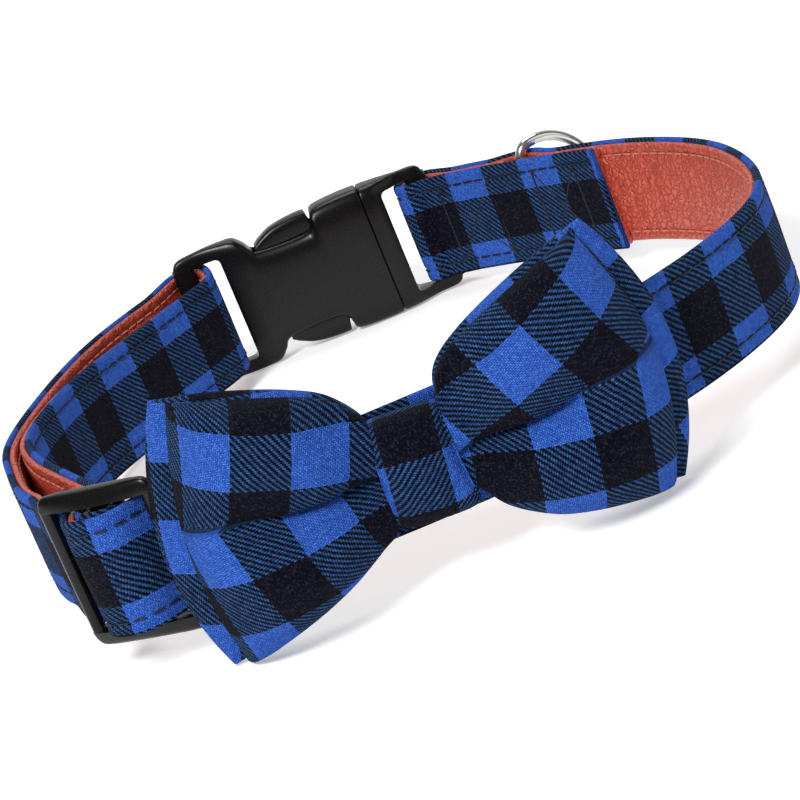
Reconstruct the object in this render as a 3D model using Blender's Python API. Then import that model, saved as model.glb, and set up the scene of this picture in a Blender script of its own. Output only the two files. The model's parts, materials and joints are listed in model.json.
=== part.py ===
"""A pet bow tie collar, standing on its edge with its buckle fastened.

Collar frame, in millimetres: x runs along the buckle, y from the bow at the front to the buckle at the
back, z across the strap, with 0 at the strap's middle. One empty carries every piece and leans the
collar until the bow's lower corners and the buckle touch the floor.
"""

import math

import bmesh
import bpy
import numpy as np

MM = 0.001

# Strap: a woven outer face with a leather lining behind it
STRAP_WIDTH = 25.0
FABRIC_THICK = 1.4
LINING_THICK = 1.1
LINING_INSET = 0.6
CLEARANCE = 0.3

# Loop: the way that the strap lies, seen from above
LOOP_RADIUS = 84.0
LAP_LENGTH = 62.0
SOCKET_LEAVE = 10.0
SLIDER_BEARING = -132.0
SLIDER_TILT = math.radians(10.0)
SEWN_TAIL = 13.0
TAIL_LEAVE = 20.0
TAIL_POINTS = 3
LAP_POINTS = 12
WAY_STEP = 4.0
PLUG_LEAVE = 50.0
SOCKET_ARRIVE = 130.0
SLIDER_RUN_OUT_BARS = 3.0

# Moulded buckle
BUCKLE_CENTRE_X = -7.4
SOCKET_LENGTH = 48.2
PLUG_LENGTH = 16.2
BUCKLE_HEIGHT = 32.6
BUCKLE_THICK = 10.4
SEAM_GAP = 0.4
BAR_WIDTH = 5.2
BAR_THICK = 3.4
SLOT_FREE = 3.4
SLOT_SIDE_GAP = 0.6
SHELL_WALL = 1.9
PRONG_THICK = 5.2
PRONG_WIDTH = 4.0
PRONG_REACH = 27.6
GUIDE_WIDTH = 6.0
GUIDE_SHARE = 0.66
PRONG_ROOT_GAPS = 4.0

# Slider: a frame with a middle bar
SLIDER_BAR = 4.0
SLIDER_BAR_THICK = 2.6
SLIDER_RAIL = 2.9
SLIDER_BELLY = 5.2
SLIDER_SLOT_SPARE = 1.1

# Leash ring
RING_WIRE = 2.6
RING_SIDE_GAP = 0.5
RING_DEPTH = 19.5
RING_CORNER = 3.4
RING_STRAIGHT_CORNERS = 1.3
RING_ALONG = 29.5
RING_SWING = 62.0
TUNNEL_SPAN = 19.0

# Bow: two loops of folded cloth, one on the other, and the band round their waists
BOW_WIDTH = 97.0
BOW_BACK_EXTRA = 3.0
BOW_HEIGHT = 54.6
BOW_LIFT = 3.0
BOW_CLOTH = 1.2
BOW_FRONT_PUFF = 9.4
BOW_BACK_PUFF = 6.0
BOW_WAIST_THICK = 3.0
BOW_SWEEP = 4.0
FOLD_SQUARENESS = 8.0
CREASE_SHARE = 0.55
CREASE_AT = -0.05
CREASE_SPREAD = 0.28
CREASE_START = 6.0
CREASE_FADE = (1.2, 1.4)
TIP_TAPER_TOP = 0.15
TIP_TAPER_LOW = 0.08
KNOT_WIDTH = 15.0
KNOT_HEIGHT = 22.0
KNOT_CLOTH = 1.3
KNOT_CROWN = 1.6
KNOT_EDGE_SHARE = 0.75
KNOT_ROWS = (-1.0, -0.9, -0.45, 0.0, 0.45, 0.9, 1.0)

# How finely the faces follow the curves
STRAP_STEP = 5.0
STRAP_TURN = math.radians(15.0)
SHARP_ANGLE = math.radians(35.0)
MOST_LEAN = 0.3
HALVINGS = 40
SECTION_SIDES = 20
WIRE_POINTS = 17
CLOTH_ROWS = 9

STRAP_THICK = FABRIC_THICK + CLEARANCE + LINING_THICK
PAIR = STRAP_THICK + CLEARANCE

# Reach of the loop's middle line from its centre, at each bearing from +x
LOOP_SHAPE = (
    # bearing_deg, reach_of_loop_radius
    (60.0, 0.950),
    (30.0, 0.912),
    (0.0, 0.962),
    (-30.0, 1.048),
    (-60.0, 1.004),
    (-90.0, 0.943),
    (-120.0, 1.034),
    (-135.0, 1.050),
    (-150.0, 1.022),
    (-165.0, 0.968),
    (-180.0, 0.942),
    (-210.0, 0.930),
    (-225.0, 0.978),
    (-240.0, 1.046),
)

# How far the inner ply stands off the outer one on the left side
LEFT_GAP = (
    # share_of_way_from_buckle, gap_of_strap_thick
    (0.040, 4.00),
    (0.140, 4.13),
    (0.280, 3.50),
    (0.395, 1.80),
    (0.490, 0.95),
    (0.640, 0.64),
    (0.764, 1.25),
    (0.900, 2.35),
)

SOCKET_SHAPE = (
    # share_of_length, share_of_half_height, share_of_half_thick
    (0.000, 0.74, 0.26),
    (0.012, 0.88, 0.327),
    (0.045, 0.97, 0.327),
    (0.140, 1.00, 0.327),
    (0.270, 1.00, 0.56),
    (0.340, 0.97, 0.72),
    (0.385, 0.84, 0.80),
    (0.420, 0.72, 0.85),
    (0.700, 0.70, 0.96),
    (0.735, 0.80, 0.98),
    (0.760, 0.97, 1.00),
    (0.985, 1.00, 1.00),
    (1.000, 0.97, 0.94),
)

PLUG_SHAPE = (
    # share_of_length, share_of_half_height, share_of_half_thick
    (0.000, 0.96, 0.94),
    (0.020, 0.99, 1.00),
    (0.170, 0.99, 0.96),
    (0.420, 0.98, 0.60),
    (0.600, 0.97, 0.327),
    (0.900, 0.95, 0.327),
    (0.970, 0.90, 0.30),
    (1.000, 0.80, 0.22),
)

PRONG_SHAPE = (
    # share_of_reach, outer_edge_share_of_half_height, width_of_prong_width
    (0.00, 0.76, 1.0),
    (0.42, 0.78, 1.0),
    (0.47, 0.80, 1.0),
    (0.50, 0.97, 1.7),
    (0.62, 0.97, 1.7),
    (0.80, 0.93, 1.5),
    (0.93, 0.84, 1.1),
    (1.00, 0.76, 0.5),
)

SLIDER_SHAPE = (
    # share_of_half_length, share_of_half_height, share_of_half_belly
    (-1.00, 0.86, 0.34),
    (-0.96, 0.96, 0.46),
    (-0.70, 1.00, 0.70),
    (-0.35, 1.00, 0.92),
    (0.00, 1.00, 1.00),
    (0.35, 1.00, 0.92),
    (0.70, 1.00, 0.70),
    (0.96, 0.96, 0.46),
    (1.00, 0.86, 0.34),
)

WING_SHAPE = (
    # share_of_wing, rise_to_full_height, share_of_puff
    (0.00, 0.00, 0.00),
    (0.05, 0.10, 0.12),
    (0.10, 0.25, 0.24),
    (0.20, 0.50, 0.50),
    (0.37, 0.71, 0.86),
    (0.56, 0.86, 1.00),
    (0.78, 0.98, 0.88),
    (1.00, 1.00, 0.62),
)

# Shares of the wing where its cloth has a row of points
WING_STATIONS = (0.0, 0.05, 0.1, 0.15, 0.2, 0.28, 0.37, 0.46, 0.56, 0.67, 0.78, 0.88, 0.95, 0.985, 1.0)


def column(table, index):
    return np.array([row[index] for row in table])


def read(table, index, at):
    """The table's column at these values of its first column, joined by straight lines."""
    return np.interp(at, column(table, 0), column(table, index))


def spline(points, per=10):
    """A centripetal Catmull-Rom curve through the points."""
    p = np.asarray(points, float)
    p = np.vstack([2 * p[0] - p[1], p, 2 * p[-1] - p[-2]])
    knots = np.r_[0, np.cumsum(np.sqrt(np.linalg.norm(np.diff(p, axis=0), axis=1)))]
    out = []
    for i in range(1, len(p) - 2):
        t0, t1, t2, t3 = knots[i - 1 : i + 3]
        t = np.linspace(t1, t2, per, endpoint=False)[:, None]
        a1 = (t1 - t) / (t1 - t0) * p[i - 1] + (t - t0) / (t1 - t0) * p[i]
        a2 = (t2 - t) / (t2 - t1) * p[i] + (t - t1) / (t2 - t1) * p[i + 1]
        a3 = (t3 - t) / (t3 - t2) * p[i + 1] + (t - t2) / (t3 - t2) * p[i + 2]
        b1 = (t2 - t) / (t2 - t0) * a1 + (t - t0) / (t2 - t0) * a2
        b2 = (t3 - t) / (t3 - t1) * a2 + (t - t1) / (t3 - t1) * a3
        out.append((t2 - t) / (t2 - t1) * b1 + (t - t1) / (t2 - t1) * b2)
    return np.vstack(out + [p[-2:-1]])


def arc(centre, radius, start, end, step=20.0):
    """Points on a circle from one bearing to another, in degrees."""
    count = max(2, math.ceil(abs(end - start) / step) + 1)
    a = np.radians(np.linspace(start, end, count))
    return np.asarray(centre) + radius * np.stack([np.cos(a), np.sin(a)], axis=1)


def rounded_rectangle(half_x, half_y, radius):
    """A closed outline round a rectangle, with a point in the middle of each long side."""
    cx, cy = half_x - radius, half_y - radius
    corners = [arc((cx, cy), radius, 0, 90, 30), arc((-cx, cy), radius, 90, 180, 30)]
    corners += [arc((-cx, -cy), radius, 180, 270, 30), arc((cx, -cy), radius, 270, 360, 30)]
    side = cy * np.array([0.5, 0.0, -0.5])
    left = np.stack([np.full(3, -half_x), side], axis=1)
    return np.vstack([corners[0], corners[1], left, corners[2], corners[3], -left])


def lengths(line):
    return np.r_[0, np.cumsum(np.linalg.norm(np.diff(line, axis=0), axis=1))]


def tangents(line):
    t = np.gradient(line, lengths(line), axis=0)
    return t / np.linalg.norm(t, axis=1)[:, None]


def outward(line):
    """The side that faces out of the loop, as the strap runs from the plug round to the socket."""
    t = tangents(line)
    return np.stack([-t[:, 1], t[:, 0]], axis=1)


def at_length_of(values, s, where):
    """Pairs of values given along a line of lengths s, read between them."""
    return np.stack([np.interp(where, s, values[:, k]) for k in (0, 1)], axis=-1)


def at_length(line, where):
    return at_length_of(line, lengths(line), where)


def even_steps(line):
    """The line again, with a point for each step of length or of turn."""
    ds = np.diff(lengths(line))
    t = tangents(line)
    heading = np.unwrap(np.arctan2(t[:, 1], t[:, 0]))
    cost = np.r_[0, np.cumsum(ds / STRAP_STEP + np.abs(np.diff(heading)) / STRAP_TURN)]
    at = np.linspace(0, cost[-1], math.ceil(cost[-1]) + 1)
    return np.stack([np.interp(at, cost, line[:, k]) for k in (0, 1)], axis=-1)


def material(name, colour, roughness, metallic=0.0):
    made = bpy.data.materials.new(name)
    made.use_nodes = True
    shader = made.node_tree.nodes["Principled BSDF"]
    shader.inputs["Base Color"].default_value = (*colour, 1.0)
    shader.inputs["Roughness"].default_value = roughness
    shader.inputs["Metallic"].default_value = metallic
    return made


def add_plain(name, data, parent):
    obj = bpy.data.objects.new(name, data)
    bpy.context.scene.collection.objects.link(obj)
    obj.parent = parent
    return obj


def add_object(name, mesh, finish, parent):
    mesh.materials.append(finish)
    mesh.shade_smooth()
    mesh.set_sharp_from_angle(angle=SHARP_ANGLE)
    return add_plain(name, mesh, parent)


def mesh_of(name, bm):
    mesh = bpy.data.meshes.new(name)
    bmesh.ops.recalc_face_normals(bm, faces=bm.faces)
    bm.to_mesh(mesh)
    bm.free()
    return mesh


def add_grid(bm, points, close_first=False, close_second=False, caps=False):
    """Quads over an array of points, closed in either direction, with caps over the ends of the first."""
    rows, cols = points.shape[:2]
    verts = [[bm.verts.new(p * MM) for p in row] for row in points.astype(float)]
    for i in range(rows if close_first else rows - 1):
        for j in range(cols if close_second else cols - 1):
            k, m = (i + 1) % rows, (j + 1) % cols
            bm.faces.new((verts[i][j], verts[k][j], verts[k][m], verts[i][m]))
    if caps:
        bm.faces.new(verts[0])
        bm.faces.new(verts[-1])


def loft(name, table, length, half_height, half_thick, squareness=5.0):
    """Rounded-rectangle sections along x, from 0 to length, with height along z."""
    turn = np.linspace(0, 2 * math.pi, SECTION_SIDES, endpoint=False) + math.pi / SECTION_SIDES
    c, s = np.cos(turn), np.sin(turn)
    round_z = np.sign(c) * np.abs(c) ** (2 / squareness)
    round_y = np.sign(s) * np.abs(s) ** (2 / squareness)
    x = column(table, 0)[:, None] * length + 0 * round_z
    z = column(table, 1)[:, None] * half_height * round_z
    y = column(table, 2)[:, None] * half_thick * round_y
    bm = bmesh.new()
    add_grid(bm, np.stack([x, y, z], axis=-1), close_second=True, caps=True)
    return mesh_of(name, bm)


def box_cutter(name, low, high, parent):
    """A hidden block between two corners, to cut or to add."""
    bm = bmesh.new()
    bmesh.ops.create_cube(bm, size=1.0)
    low, high = np.array(low) * MM, np.array(high) * MM
    for vert in bm.verts:
        vert.co = (low + high) / 2 + np.array(vert.co) * (high - low)
    return hide(add_plain(name, mesh_of(name, bm), parent))


def round_bar(name, low, high, thick, half_span, parent):
    """A hidden bar across the strap, with round edges, to add between two rails."""
    outline = rounded_rectangle((high - low) / 2, thick / 2, thick / 2 - CLEARANCE / 10)
    outline = outline + ((low + high) / 2, 0)
    ends = [np.insert(outline, 2, z, axis=1) for z in (-half_span, half_span)]
    bm = bmesh.new()
    add_grid(bm, np.array(ends), close_second=True, caps=True)
    return hide(add_plain(name, mesh_of(name, bm), parent))


def hide(obj):
    obj.hide_render = True
    obj.display_type = "WIRE"
    return obj


def boolean(target, other, operation):
    modifier = target.modifiers.new(other.name, "BOOLEAN")
    modifier.operation = operation
    modifier.solver = "EXACT"
    modifier.object = other


# The strap's way, seen from above

SLOT = STRAP_THICK + CLEARANCE + SLOT_FREE
BAR_ROUTE = BAR_THICK / 2 + CLEARANCE + STRAP_THICK / 2
SOCKET_LEFT = BUCKLE_CENTRE_X - (SOCKET_LENGTH + SEAM_GAP + PLUG_LENGTH) / 2
SEAM_X = SOCKET_LEFT + SOCKET_LENGTH
PLUG_RIGHT = SEAM_X + SEAM_GAP + PLUG_LENGTH
PLUG_BAR = (PLUG_RIGHT - BAR_WIDTH, PLUG_RIGHT)
SOCKET_BAR = (SOCKET_LEFT, SOCKET_LEFT + BAR_WIDTH)
BUCKLE_Y = LOOP_RADIUS


def bar_ends(bar):
    """The middles of a bar's two round ends."""
    return np.array([[bar[0] + BAR_THICK / 2, BUCKLE_Y], [bar[1] - BAR_THICK / 2, BUCKLE_Y]])


def middle_line():
    """The line between the outer and inner plies, from the plug's bar round to the socket's."""
    bearing = np.radians(column(LOOP_SHAPE, 0))
    reach = LOOP_RADIUS * column(LOOP_SHAPE, 1)
    shape = np.stack([reach * np.cos(bearing), reach * np.sin(bearing)], axis=1)
    return spline(np.vstack([bar_ends(PLUG_BAR)[1:], shape, bar_ends(SOCKET_BAR)[:1]]), per=24)


class Slider:
    """The slider's place on the strap, and the sizes that the strap's thickness gives it."""

    def __init__(self, line):
        bearings = np.degrees(np.unwrap(np.arctan2(line[:, 1], line[:, 0])))
        here = np.argmin(np.abs(bearings - SLIDER_BEARING))
        self.at = lengths(line)[here]
        heading = math.atan2(*tangents(line)[here][::-1]) + SLIDER_TILT
        self.along = np.array([math.cos(heading), math.sin(heading)])
        self.out = np.array([-self.along[1], self.along[0]])
        self.bar_route = SLIDER_BAR_THICK / 2 + CLEARANCE + STRAP_THICK / 2
        self.centre = line[here] + (PAIR / 2 + self.bar_route) * self.out
        self.slot = 2 * STRAP_THICK + 3 * CLEARANCE + SLIDER_SLOT_SPARE
        self.half_length = SLIDER_BAR * 1.5 + self.slot
        self.roller = SLIDER_BAR / 2 + self.slot + SLIDER_BAR_THICK / 2
        self.inset = (SLIDER_BAR - SLIDER_BAR_THICK) / 2

    def place(self, local):
        """Points given as (along, out) from the slider's middle, in the collar's plan."""
        local = np.asarray(local)
        return self.centre + local[:, :1] * self.along + local[:, 1:] * self.out

    def local(self, points):
        """Points in the collar's plan given back as (along, out) from the slider's middle."""
        off = np.asarray(points) - self.centre
        return np.stack([off @ self.along, off @ self.out], axis=1)

    def over(self):
        """The way over the middle bar, on top of the sewn end, and behind a side bar."""
        middle = self.bar_route + PAIR
        lean = math.degrees(math.acos((middle + self.bar_route) / (self.roller - self.inset)))
        down = arc((self.inset, 0), middle, 90, lean)
        under = arc((self.roller, 0), self.bar_route, 180 + lean, 270)
        return np.vstack([down, under])


def outer_way(line, slider):
    """The outer ply, from the plug's bar to the socket's."""
    end = lengths(line)[-1]
    normal = outward(line)
    s = lengths(line)
    ring = (s - RING_ALONG) / (TUNNEL_SPAN / 2)
    bulge = (RING_WIRE + CLEARANCE) * np.clip(1 - ring**2, 0, 1) ** 1.5
    raised = line + (PAIR / 2 + bulge)[:, None] * normal
    along = lengths(raised)
    near = BAR_WIDTH + BAR_THICK
    reach = slider.half_length + SLIDER_BAR * SLIDER_RUN_OUT_BARS
    before = at_length(raised, np.interp(np.arange(near, slider.at - reach, WAY_STEP), s, along))
    after = at_length(raised, np.interp(np.arange(slider.at + reach, end - near, WAY_STEP), s, along))
    half = slider.over()
    tread = np.array([[slider.half_length, -slider.bar_route]])
    left = np.vstack([half, tread])
    right = (left * (-1, 1))[::-1]
    leave = arc(bar_ends(PLUG_BAR)[1], BAR_ROUTE, 90, PLUG_LEAVE)
    arrive = arc(bar_ends(SOCKET_BAR)[0], BAR_ROUTE, SOCKET_ARRIVE, 90)
    return np.vstack([leave, before, slider.place(right), slider.place(left), after, arrive])


def strap_way(line, slider):
    """The whole strap, from its sewn end by the leash ring to its sewn end on the slider's middle bar."""
    s = lengths(line)
    end = s[-1]
    inner = line - PAIR / 2 * outward(line)
    near = BAR_WIDTH + BAR_THICK
    lap = at_length(inner, np.interp(np.linspace(LAP_LENGTH, near, LAP_POINTS), s, lengths(inner)))
    plug = bar_ends(PLUG_BAR)
    socket = bar_ends(SOCKET_BAR)
    plug_under = arc(plug[1], BAR_ROUTE, 270, 270, 1)[:1]
    plug_turn = arc(plug[0], BAR_ROUTE, 270, 90)
    socket_turn = arc(socket[1], BAR_ROUTE, 90, SOCKET_LEAVE)

    left_end = slider.at + slider.half_length + SLIDER_BAR
    gap = column(LEFT_GAP, 1) * STRAP_THICK
    back = end - column(LEFT_GAP, 0) * (end - left_end)
    stand_off = at_length(line, back) - gap[:, None] * at_length_of(outward(line), s, back)

    bar = np.array([-slider.inset, 0.0])
    last = slider.local(stand_off[-1:])[0] - bar
    slack = math.acos(slider.bar_route / np.linalg.norm(last))
    touch = math.degrees(math.atan2(last[1], last[0]) - slack) % 360
    round_middle = slider.place(arc(bar, slider.bar_route, touch, 90))
    away = stand_off[-1] - round_middle[0]
    away = away / np.linalg.norm(away)
    aside = np.array([away[1], -away[0]]) * PAIR
    sewn = np.linspace(slider.slot, slider.slot + SEWN_TAIL, TAIL_POINTS)[:, None]
    tail_turn = slider.place(arc(-bar, slider.bar_route, 90, TAIL_LEAVE))
    tail = np.vstack([tail_turn, round_middle[0] - aside + sewn * away])
    outer = outer_way(line, slider)
    return spline(
        np.vstack([lap, plug_under, plug_turn, outer, socket_turn, stand_off, round_middle, tail])
    )


def ply(name, way, inner, outer, width, finish, parent):
    """A band of cloth that follows the way between two offsets from it, extruded across its width."""
    line = even_steps(way)
    normal = outward(line)
    low = np.full((len(line), 1), -width / 2)
    sides = [np.hstack([line + offset * normal, low]) for offset in (inner, outer)]
    bm = bmesh.new()
    add_grid(bm, np.stack(sides, axis=1))
    top = bmesh.ops.extrude_face_region(bm, geom=bm.faces[:])["geom"]
    moved = [item for item in top if isinstance(item, bmesh.types.BMVert)]
    bmesh.ops.translate(bm, vec=(0, 0, width * MM), verts=moved)
    return add_object(name, mesh_of(name, bm), finish, parent)


def strap(way, parent):
    woven = material("check_fabric", (0.03, 0.07, 0.28), 0.85)
    leather = material("coral_leather", (0.62, 0.10, 0.07), 0.5)
    face = STRAP_THICK / 2
    ply("strap_fabric", way, face - FABRIC_THICK, face, STRAP_WIDTH, woven, parent)
    ply("strap_lining", way, -face, LINING_THICK - face, STRAP_WIDTH - 2 * LINING_INSET, leather, parent)
    return woven


# Buckle


def prongs_mesh(name):
    """Two sprung arms with barbs that look out of the socket's windows, and a guide between them."""
    half = BUCKLE_HEIGHT / 2
    bm = bmesh.new()
    share = column(PRONG_SHAPE, 0)
    x = -share * PRONG_REACH
    outer = column(PRONG_SHAPE, 1) * half
    inner = outer - column(PRONG_SHAPE, 2) * PRONG_WIDTH
    root = SEAM_GAP * PRONG_ROOT_GAPS
    x[0] = root
    for side in (1, -1):
        edge = np.stack([np.r_[x, x[::-1]], np.r_[outer, inner[::-1]] * side], axis=1)
        low, high = (np.insert(edge, 1, y, axis=1) for y in (-PRONG_THICK / 2, PRONG_THICK / 2))
        count = len(x)
        rings = [low[:count], low[count:][::-1], high[count:][::-1], high[:count]]
        add_grid(bm, np.stack(rings, axis=1), close_second=True, caps=True)
    return mesh_of(name, bm)


def buckle(parent):
    plastic = material("black_plastic", (0.012, 0.012, 0.013), 0.42)
    half_height = BUCKLE_HEIGHT / 2
    half_thick = BUCKLE_THICK / 2
    slot_height = STRAP_WIDTH / 2 + SLOT_SIDE_GAP

    frame = add_plain("buckle_place", None, parent)
    frame.location = (SEAM_X * MM, BUCKLE_Y * MM, 0)

    socket_mesh = loft("buckle_socket", SOCKET_SHAPE, SOCKET_LENGTH, half_height, half_thick)
    socket = add_object("buckle_socket", socket_mesh, plastic, frame)
    socket.location = (-SOCKET_LENGTH * MM, 0, 0)
    span = slot_height + SLOT_SIDE_GAP
    low, high = SOCKET_BAR[0] - SEAM_X, SOCKET_BAR[1] - SEAM_X
    slot = ((low - BAR_WIDTH, -BUCKLE_THICK, -slot_height), (high + SLOT, BUCKLE_THICK, slot_height))
    boolean(socket, box_cutter("socket_slot", *slot, frame), "DIFFERENCE")
    boolean(socket, round_bar("socket_bar", low, high, BAR_THICK, span, frame), "UNION")
    room_y = PRONG_THICK / 2 + SEAM_GAP
    room_z = half_height - SHELL_WALL
    room = ((-PRONG_REACH - SEAM_GAP * 2, -room_y, -room_z), (half_thick, room_y, room_z))
    boolean(socket, box_cutter("socket_room", *room, frame), "DIFFERENCE")

    plug_mesh = loft("buckle_plug", PLUG_SHAPE, PLUG_LENGTH, half_height, half_thick)
    plug = add_object("buckle_plug", plug_mesh, plastic, frame)
    plug.location = (SEAM_GAP * MM, 0, 0)
    low, high = PLUG_BAR[0] - SEAM_X, PLUG_BAR[1] - SEAM_X
    slot = ((low - SLOT, -BUCKLE_THICK, -slot_height), (high + BAR_WIDTH, BUCKLE_THICK, slot_height))
    boolean(plug, box_cutter("plug_slot", *slot, frame), "DIFFERENCE")
    boolean(plug, round_bar("plug_bar", low, high, BAR_THICK, span, frame), "UNION")
    arms = hide(add_plain("plug_prongs", prongs_mesh("plug_prongs"), frame))
    boolean(plug, arms, "UNION")
    guide_low = (-PRONG_REACH * GUIDE_SHARE, -PRONG_THICK / 2, -GUIDE_WIDTH / 2)
    guide_high = (SEAM_GAP * PRONG_ROOT_GAPS, PRONG_THICK / 2, GUIDE_WIDTH / 2)
    boolean(plug, box_cutter("plug_guide", guide_low, guide_high, frame), "UNION")
    return plastic


def slider_frame(slider, plastic, parent):
    """The slider's lens-shaped frame, cut through, with its straight middle bar."""
    half_height = STRAP_WIDTH / 2 + SLOT_SIDE_GAP + SLIDER_RAIL
    place = add_plain("slider_place", None, parent)
    place.location = (*(slider.centre * MM), 0)
    place.rotation_euler = (0, 0, math.atan2(slider.along[1], slider.along[0]))

    mesh = loft("slider", SLIDER_SHAPE, slider.half_length, half_height, SLIDER_BELLY / 2, 3.6)
    frame = add_object("slider", mesh, plastic, place)
    window = STRAP_WIDTH / 2 + SLOT_SIDE_GAP
    long = 2 * slider.half_length
    hole = ((-long, -SLIDER_BELLY, -window), (long, SLIDER_BELLY, window))
    boolean(frame, box_cutter("slider_window", *hole, place), "DIFFERENCE")
    reach = slider.half_length - SLIDER_BAR / 2
    for name, x in (("near", -reach), ("middle", 0), ("far", reach)):
        ends = (x - SLIDER_BAR / 2, x + SLIDER_BAR / 2)
        bar = round_bar("slider_bar_" + name, *ends, SLIDER_BAR_THICK, window + SLOT_SIDE_GAP, place)
        boolean(frame, bar, "UNION")


# Leash ring


def leash_ring(line, parent):
    """A bent wire whose straight side lies between the plies, turned about that side."""
    steel = material("nickel_wire", (0.62, 0.60, 0.55), 0.25, 1.0)
    s = lengths(line)
    normal = outward(line)
    here = np.argmin(np.abs(s - RING_ALONG))
    seat = line[here] + normal[here] * (RING_WIRE / 2 + CLEARANCE / 2)
    along = tangents(line)[here]
    bearing = math.atan2(along[1], along[0]) + math.radians(RING_SWING)

    half = STRAP_WIDTH / 2 + RING_SIDE_GAP + RING_WIRE / 2
    depth = RING_DEPTH - RING_WIRE
    corner = arc((RING_CORNER, half - RING_CORNER), RING_CORNER, 180, 90, 30)
    start = RING_CORNER * RING_STRAIGHT_CORNERS
    bow = np.radians(np.linspace(90, -90, WIRE_POINTS))
    sweep = np.stack([start + (depth - start) * np.cos(bow), half * np.sin(bow)], axis=1)
    outline = np.vstack([corner, sweep, (corner * (1, -1))[::-1]])

    curve = bpy.data.curves.new("d_ring", "CURVE")
    curve.dimensions = "3D"
    curve.bevel_depth = RING_WIRE / 2 * MM
    curve.bevel_resolution = 2
    wire = curve.splines.new("POLY")
    wire.points.add(len(outline) - 1)
    for point, (x, z) in zip(wire.points, outline):
        point.co = (x * MM, 0, z * MM, 1)
    wire.use_cyclic_u = True
    curve.materials.append(steel)
    ring = add_plain("d_ring", curve, parent)
    ring.location = (*(seat * MM), 0)
    ring.rotation_euler = (0, 0, bearing)
    return seat, bearing


# Bow


def cloth_loop(name, half_width, puff, seat, finish, parent):
    """A loop of cloth pressed flat at its waist. Its plan is a squared ellipse whose depth follows the
    wing table, its height follows the table too, and its front has a crease that fades outwards. The
    seat function gives the height of its back face above the strap at each share of the wing."""
    waist = KNOT_WIDTH / 2 + 2 * CLEARANCE
    stations = np.array(WING_STATIONS)
    row = np.r_[stations[::-1], 0.0, stations]
    side = np.r_[np.ones(len(stations)), 0.0, -np.ones(len(stations))]
    share = np.r_[row, row[-2:0:-1]]
    side = np.r_[side, side[-2:0:-1]]
    front = np.arange(len(share)) < len(row)
    fold = np.where(front, 1, -1) * (1 - share**FOLD_SQUARENESS) ** 0.5
    v = np.linspace(-1, 1, CLOTH_ROWS)
    waist_height = KNOT_HEIGHT / 2 - KNOT_CLOTH - 2 * CLEARANCE
    height = waist_height + (BOW_HEIGHT / 2 - waist_height) * read(WING_SHAPE, 1, share)
    depth = BOW_WAIST_THICK / 2 + (puff - BOW_WAIST_THICK) / 2 * read(WING_SHAPE, 2, share)
    crease = CREASE_SHARE * 2 * (depth - BOW_CLOTH) * front
    crease = crease * np.clip(CREASE_FADE[0] - share * CREASE_FADE[1], 0, 1)
    crease = crease * np.clip(share * CREASE_START, 0, 1)
    tuck = np.exp(-(((v - CREASE_AT) / CREASE_SPREAD) ** 2))
    taper = np.where(v > 0, TIP_TAPER_TOP, TIP_TAPER_LOW) * v**2
    sheets = []
    for wall in (0.0, BOW_CLOTH):
        out = (seat(share) + depth + (depth - wall) * fold)[:, None] - crease[:, None] * tuck
        out = out - BOW_SWEEP * (share**2)[:, None]
        reach = waist + (half_width - wall - waist) * share
        x = (side * reach)[:, None] * (1 - share[:, None] ** 3 * taper)
        z = BOW_LIFT + height[:, None] * v
        sheets.append(np.stack([x, -out, z], axis=-1))
    rings = np.concatenate([sheets[0], sheets[1][:, ::-1]], axis=1)
    bm = bmesh.new()
    add_grid(bm, rings, close_first=True, close_second=True)
    return add_object(name, mesh_of(name, bm), finish, parent)


def bow(front_y, woven, parent):
    """The two cloth loops and the band that holds their waists."""
    place = add_plain("bow_place", None, parent)
    place.location = (0, front_y * MM, 0)
    back_seat = CLEARANCE + KNOT_CLOTH + CLEARANCE

    def over_strap(share):
        return back_seat + 0 * share

    def over_back_loop(share):
        raised = (BOW_BACK_PUFF - BOW_WAIST_THICK) * read(WING_SHAPE, 2, share)
        return back_seat + BOW_WAIST_THICK + raised + CLEARANCE

    half = BOW_WIDTH / 2
    cloth_loop("bow_back", half + BOW_BACK_EXTRA, BOW_BACK_PUFF, over_strap, woven, place)
    cloth_loop("bow_front", half, BOW_FRONT_PUFF, over_back_loop, woven, place)

    deep = BOW_WAIST_THICK + CLEARANCE * 1.5
    centre = back_seat + BOW_WAIST_THICK + CLEARANCE / 2
    across = np.array(KNOT_ROWS)
    skins = []
    for wall in (KNOT_CLOTH, 0.0):
        thin = wall * np.where(np.abs(across) == 1, KNOT_EDGE_SHARE, 1.0)
        ring = [rounded_rectangle(deep + t, KNOT_HEIGHT / 2 - KNOT_CLOTH + t, CLEARANCE + t) for t in thin]
        ring = np.stack(ring, axis=1)
        crown = KNOT_CROWN * np.clip(1 - (ring[..., 1] / KNOT_HEIGHT * 2) ** 2, 0, 1)
        crown = crown * (1 - across**2) * (wall > 0) * (ring[..., 0] > 0)
        x = KNOT_WIDTH / 2 * across + 0 * crown
        skins.append(np.stack([x, -(centre + ring[..., 0] + crown), BOW_LIFT + ring[..., 1]], axis=-1))
    rings = np.concatenate([skins[0], skins[1][:, ::-1]], axis=1)
    bm = bmesh.new()
    add_grid(bm, rings, close_first=True, close_second=True)
    add_object("bow_knot", mesh_of("bow_knot", bm), woven, place)


# Assembly


def world_points():
    bpy.context.view_layer.update()
    graph = bpy.context.evaluated_depsgraph_get()
    found = []
    for obj in bpy.context.scene.objects:
        if obj.type == "EMPTY" or obj.hide_render:
            continue
        mesh = obj.evaluated_get(graph).to_mesh()
        co = np.array([vert.co[:] for vert in mesh.vertices])
        world = np.array(obj.matrix_world)
        found.append(co @ world[:3, :3].T + world[:3, 3])
        obj.evaluated_get(graph).to_mesh_clear()
    return np.vstack(found)


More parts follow.
